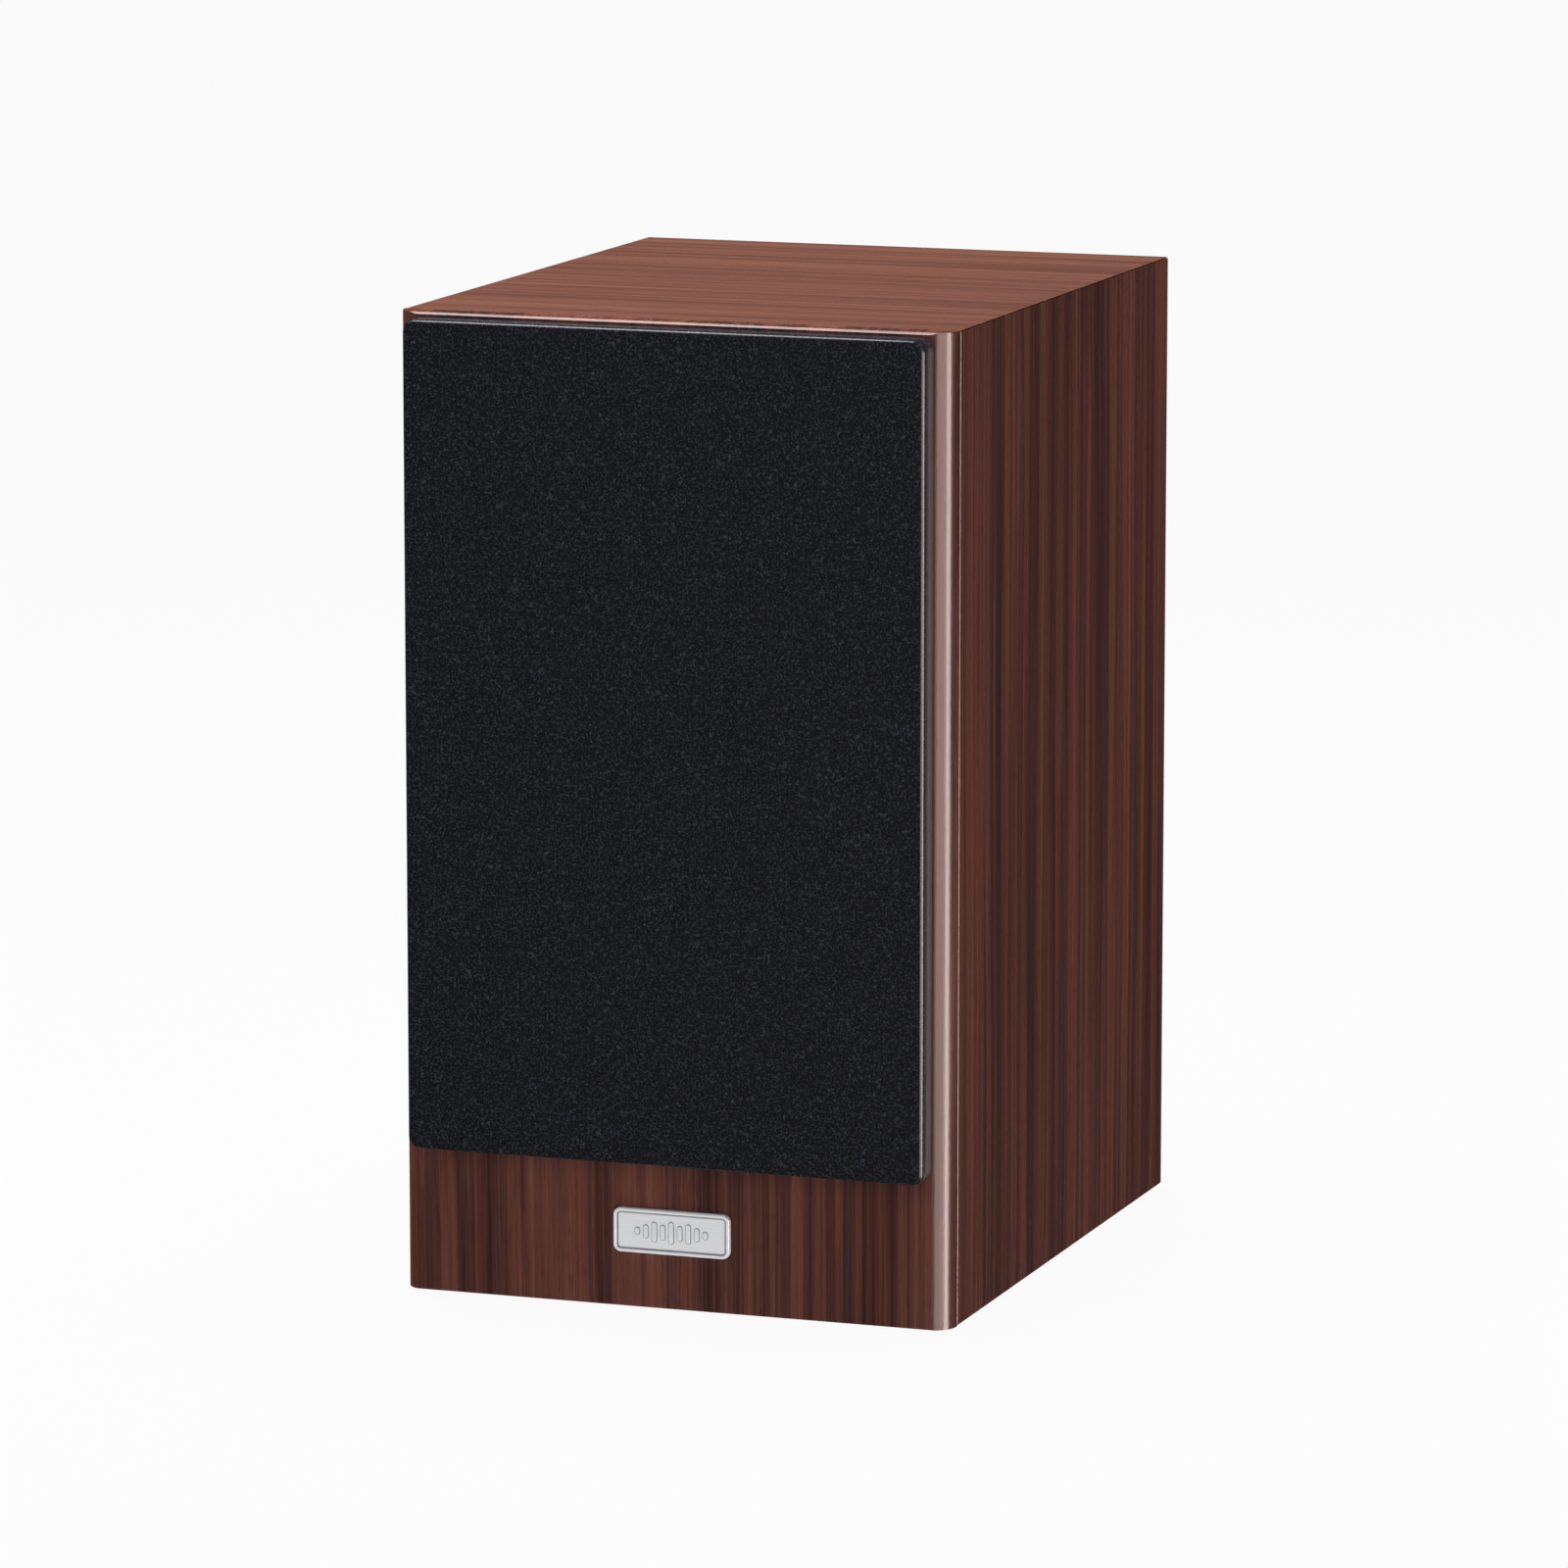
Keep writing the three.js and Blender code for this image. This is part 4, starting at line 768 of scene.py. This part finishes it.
BLACK_YARN = srgb(13, 15, 20)
YARN_GLINT = srgb(65, 70, 84)
knit_black = finish("black_knit", KNIT, {"Yarn": BLACK_YARN, "Highlight": YARN_GLINT, "Pitch": 0.0007},
                    bump=0.55, bump_size=0.0004, dust=0.001,
                    Sheen_Weight=0.04, Sheen_Roughness=0.2, Specular_IOR_Level=0.1,
                    Coat_Weight=1.0, Coat_Roughness=0.24)
cloth = to_object(grille_cloth(), "stretched_grille_cloth", knit_black, "grille")
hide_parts("grille_cloth")

# %% [markdown]
# ## Surround and spider
#
# Two soft rings let the woofer's cone move. The surround is a half roll of rubber, glued to the cone's rim
# inside and to the basket's seat outside. The spider is a pleated cloth disc behind the cone, which keeps
# the coil in the middle. Both are turned from a profile of radius and depth. When the cone moves, the
# inner edge goes with it, the outer edge stays, and the share in between falls off smoothly.

# %% Build the surround and the spider
TURN_STEPS = 96
ROLL_STEPS = 18


def lathe(name, profile, middle, material):
    """A closed profile of (radius, depth) pairs turned about the front-to-back axis through the middle."""
    mesh = bmesh.new()
    angles = [math.tau * i / TURN_STEPS for i in range(TURN_STEPS)]
    rings = []
    for radius, depth in profile:
        ring = [(middle.x + radius * math.cos(a), depth, middle.z + radius * math.sin(a)) for a in angles]
        rings.append([mesh.verts.new(place) for place in ring])
    for first, second in zip(rings, rings[1:] + rings[:1]):
        bridge(mesh, first, second)
    return to_object(mesh, name, material)


def bend_between(piece, middle, moving_radius, still_radius):
    """The piece follows the cone inside the first radius and the cabinet outside the second."""
    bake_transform(piece, "cabinet", "woofer_cone", middle, middle + Vector((0.0, 0.001, 0.0)))
    shares = piece.data.attributes["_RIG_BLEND"].data
    for vert, share in zip(piece.data.vertices, shares):
        radius = math.hypot(vert.co.x - middle.x, vert.co.z - middle.z)
        left = min(1.0, max(0.0, (still_radius - radius) / (still_radius - moving_radius)))
        share.value = left * left * (3 - 2 * left)


def half_roll(centre, depth, radius, start, stop, steps):
    angles = [math.radians(start + (stop - start) * i / steps) for i in range(steps + 1)]
    return [(centre + radius * math.cos(a), depth + radius * math.sin(a)) for a in angles]


surround_low, surround_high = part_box("woofer_surround")
SURROUND_RUBBER = 0.9 * MM
SURROUND_ROLL = 4.4 * MM
SURROUND_LIP = 54.4 * MM
CONE_RIM = 57.0 * MM
outer_radius = (surround_high.x - surround_low.x) / 2
roll_centre = CONE_RIM + 0.6 * MM + SURROUND_ROLL
seat_depth = surround_high.y
lip_depth = surround_low.y + SURROUND_ROLL
surround_profile = (
    [(SURROUND_LIP, lip_depth + 0.5 * MM), (SURROUND_LIP + 0.3 * MM, lip_depth),
     (CONE_RIM - 0.4 * MM, lip_depth)]
    + half_roll(roll_centre, lip_depth, SURROUND_ROLL, 180, 360, ROLL_STEPS)
    + [(outer_radius - 0.3 * MM, lip_depth), (outer_radius, lip_depth + 0.3 * MM),
       (outer_radius, seat_depth), (roll_centre + SURROUND_ROLL - SURROUND_RUBBER, seat_depth)]
    + half_roll(roll_centre, lip_depth, SURROUND_ROLL - SURROUND_RUBBER, 350, 190, ROLL_STEPS)
    + [(CONE_RIM - 0.3 * MM, lip_depth + 0.75 * MM)])
surround = lathe("rubber_roll_surround", surround_profile, woofer_middle, surround_rubber)
bend_between(surround, woofer_middle, CONE_RIM + 0.2 * MM, outer_radius - 4.0 * MM)
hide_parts("woofer_surround")

spider_low, spider_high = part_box("woofer_spider")
SPIDER_CLOTH = 0.8 * MM
SPIDER_BORE = 13.7 * MM
SPIDER_PLEATS = 3.5
PLEAT_STEPS = 56
COLLAR = 0.125
spider_radius = (spider_high.x - spider_low.x) / 2
pleat_height = (spider_high.y - spider_low.y - SPIDER_CLOTH) / 2
spider_depth = (spider_low.y + spider_high.y - SPIDER_CLOTH) / 2


def pleated():
    """The front of the spider, from its bore out: round pleats that fade out into a collar at each edge."""
    points = []
    for i in range(PLEAT_STEPS + 1):
        share = i / PLEAT_STEPS
        rise = math.sin(math.pi * min(1.0, min(share, 1 - share) / COLLAR) / 2)
        wave = math.sin(math.tau * SPIDER_PLEATS * share)
        points.append((SPIDER_BORE + (spider_radius - SPIDER_BORE) * share,
                       spider_depth - wave * rise * pleat_height))
    return points


spider_front = pleated()
spider_back = [(radius, depth + SPIDER_CLOTH) for radius, depth in reversed(spider_front)]
spider = lathe("pleated_spider", spider_front + spider_back, woofer_middle, spider_cloth)
bend_between(spider, woofer_middle, SPIDER_BORE + 0.5 * MM, spider_radius - 0.5 * MM)
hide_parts("woofer_spider")
print("surround and spider vertices:", len(surround.data.vertices), len(spider.data.vertices))

# %% [markdown]
# ## Badge
#
# A small cast plate with a raised rim and a satin field. The field carries a plain row of level bars in
# relief, a mark for sound that belongs to nobody. The groove inside the rim and the flanks of the bars
# wear a darker metal, which is painted shade, so both stand out.

# %% Build the badge
badge_low, badge_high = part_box("badge_plate")
badge_size = badge_high - badge_low
badge_middle = (badge_low + badge_high) / 2
# These sizes are in millimetres, and each profile is a list of (inset, depth) pairs.
BADGE_CORNER = 2.6
BADGE_FINEST_CORNER = 0.5
BADGE_PROFILE = [(0.0, 2.0), (0.0, 0.55), (0.12, 0.25), (0.35, 0.08), (0.65, 0.0), (1.0, 0.06),
                 (1.18, 0.30), (1.34, 0.70), (1.62, 0.72), (1.80, 0.42), (2.0, 0.40)]
BAR_PROFILE = [(-0.22, 0.5), (-0.22, 0.38), (0.0, 0.30), (0.05, 0.14), (0.22, 0.06)]
BAR_HEIGHTS = (2.4, 4.4, 6.6, 5.0, 7.4, 5.0, 6.6, 4.4, 2.4)
BAR_PITCH = 3.0
BAR_WIDTH = 1.6
BAR_CORNER = BAR_WIDTH / 2 - 0.05
# The steps of the two profiles that wear painted shade, and the numbers of the two finishes.
GROOVE_START = 6
GROOVE_END = 8
FLANK_END = 3
BRIGHT = 0
PAINTED_SHADE = 1
RELIEF_ANGLE = 40


def badge_ring(mesh, inset, depth):
    radius = max(BADGE_CORNER - inset, BADGE_FINEST_CORNER) * MM
    outline = rounded_rectangle(badge_size.x - 2 * inset * MM, badge_size.z - 2 * inset * MM, radius,
                                per_corner=8, per_side=2)
    return [mesh.verts.new((badge_middle.x + p.x, badge_low.y + depth * MM, badge_middle.z + p.y))
            for p in outline]


def bridge_in(mesh, first, second, finish_index):
    """Bridges two rings with faces that wear the finish with that number."""
    before = len(mesh.faces)
    bridge(mesh, first, second)
    mesh.faces.ensure_lookup_table()
    for face in mesh.faces[before:]:
        face.material_index = finish_index


def level_bar(mesh, across, height):
    """One rounded bar standing out of the field, with painted shade on its flanks."""
    rings = []
    for inset, depth in BAR_PROFILE:
        outline = rounded_rectangle((BAR_WIDTH - 2 * inset) * MM, (height - 2 * inset) * MM,
                                    (BAR_CORNER - inset) * MM, per_corner=4, per_side=1)
        rings.append([mesh.verts.new((across * MM + p.x, badge_low.y + depth * MM, badge_middle.z + p.y))
                      for p in outline])
    for i, (first, second) in enumerate(zip(rings, rings[1:])):
        bridge_in(mesh, first, second, PAINTED_SHADE if i < FLANK_END else BRIGHT)
    mesh.faces.new(rings[-1])


def badge():
    mesh = bmesh.new()
    rings = [badge_ring(mesh, inset, depth) for inset, depth in BADGE_PROFILE]
    for i, (first, second) in enumerate(zip(rings, rings[1:])):
        bridge_in(mesh, first, second, PAINTED_SHADE if GROOVE_START <= i < GROOVE_END else BRIGHT)
    mesh.faces.new(rings[0])
    mesh.faces.new(rings[-1])
    middle_bar = (len(BAR_HEIGHTS) - 1) / 2
    for i, height in enumerate(BAR_HEIGHTS):
        level_bar(mesh, (i - middle_bar) * BAR_PITCH, height)
    return mesh


def badge_finish(name, colour, roughness, dust):
    return finish(name, BRUSHED, {"Base Color": colour, "Roughness": roughness, "Scratches": (60, 60, 3800)},
                  metallic=0.05, bump=0.06, bump_size=0.00005, dust=dust)


badge_metal = badge_finish("satin_badge_metal", srgb(248, 249, 252), 0.38, dust=0.01)
# The darker metal is painted shade, laid in the groove inside the rim and on the bars' flanks.
shade_painted_metal = badge_finish("badge_metal_painted_shade", srgb(146, 148, 155), 0.5, dust=0.03)
badge_piece = to_object(badge(), "badge_with_level_bars", badge_metal, "cabinet")
badge_piece.data.materials.append(shade_painted_metal)
shade(badge_piece, RELIEF_ANGLE)
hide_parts("badge_plate")
print("badge", [round(side / MM, 1) for side in badge_size], "mm")

# %% [markdown]
# ## Damping wadding
#
# A block of lofted polyester fills the middle of the cabinet behind the woofer. It has no skin: its faces
# bulge between soft, rounded corners, and loose fibre makes the surface uneven. It is shaped directly, by
# pushing the faces of a fine box outwards and ruffling them with smooth noise.

# %% Build the wadding
wad_low, wad_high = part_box("damping_wadding")
wad_half = (wad_high - wad_low) / 2
wad_middle = (wad_low + wad_high) / 2
WAD_CUTS = 22
WAD_SQUARENESS = 6.0
WAD_FILL = 0.965
WAD_RUFFLE = 1.6 * MM
RUFFLE_WAVES = 24


def wadding():
    mesh = bmesh.new()
    bmesh.ops.create_cube(mesh, size=2.0)
    bmesh.ops.subdivide_edges(mesh, edges=mesh.edges, cuts=WAD_CUTS, use_grid_fill=True)
    random.seed(7)
    waves = [(Vector([random.uniform(-60, 60) for _ in range(3)]), random.uniform(0, math.tau))
             for _ in range(RUFFLE_WAVES)]
    for vert in mesh.verts:
        length = sum(abs(side) ** WAD_SQUARENESS for side in vert.co) ** (1 / WAD_SQUARENESS)
        direction = vert.co / length
        place = Vector(d * h * WAD_FILL for d, h in zip(direction, wad_half))
        ruffle = sum(math.sin(wave.dot(place) * 2.2 + phase) for wave, phase in waves) / len(waves)
        vert.co = wad_middle + place + direction.normalized() * ruffle * WAD_RUFFLE
    return mesh


lofted = finish("lofted_polyester", KNIT,
                {"Yarn": srgb(206, 206, 202), "Highlight": srgb(240, 240, 238), "Pitch": 0.0031},
                bump=0.9, bump_size=0.001, dust=0.05, Sheen_Weight=0.4)
wad = to_object(wadding(), "lofted_wadding", lofted, "cabinet")
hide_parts("damping_wadding")
print("wadding vertices:", len(wad.data.vertices))

# %% [markdown]
# ## Studio finishes
#
# The floor glows a little, so that it stays pale under the soft lamps and still takes a faint shadow.
# The sky is bright for the camera and dim for everything else.

# %% Floor and sky
WHITE = (1.0, 1.0, 1.0, 1.0)
FLOOR_GREY = (0.012, 0.012, 0.012, 1.0)
FLOOR_GLOW = 0.95
SKY_BEHIND = 0.965
SKY_AROUND = 0.02


def floor_finish():
    material = bpy.data.materials.new("pale_floor")
    material.use_nodes = True
    shader = material.node_tree.nodes["Principled BSDF"]
    shader.inputs["Base Color"].default_value = FLOOR_GREY
    shader.inputs["Roughness"].default_value = 0.9
    shader.inputs["Specular IOR Level"].default_value = 0.0
    shader.inputs["Emission Color"].default_value = WHITE
    shader.inputs["Emission Strength"].default_value = FLOOR_GLOW
    return material


def sky():
    world = bpy.data.worlds.new("studio_sky")
    world.use_nodes = True
    tree = world.node_tree
    dim = tree.nodes["Background"]
    dim.inputs["Color"].default_value = WHITE
    dim.inputs["Strength"].default_value = SKY_AROUND
    bright = add(tree, "ShaderNodeBackground", {"Color": WHITE, "Strength": SKY_BEHIND})
    rays = add(tree, "ShaderNodeLightPath")
    mix = add(tree, "ShaderNodeMixShader", {0: rays.outputs["Is Camera Ray"]})
    tree.links.new(dim.outputs[0], mix.inputs[1])
    tree.links.new(bright.outputs[0], mix.inputs[2])
    tree.links.new(mix.outputs[0], tree.nodes["World Output"].inputs["Surface"])
    scene.world = world


floor.data.materials.append(floor_finish())
sky()
print("materials:", len(bpy.data.materials))
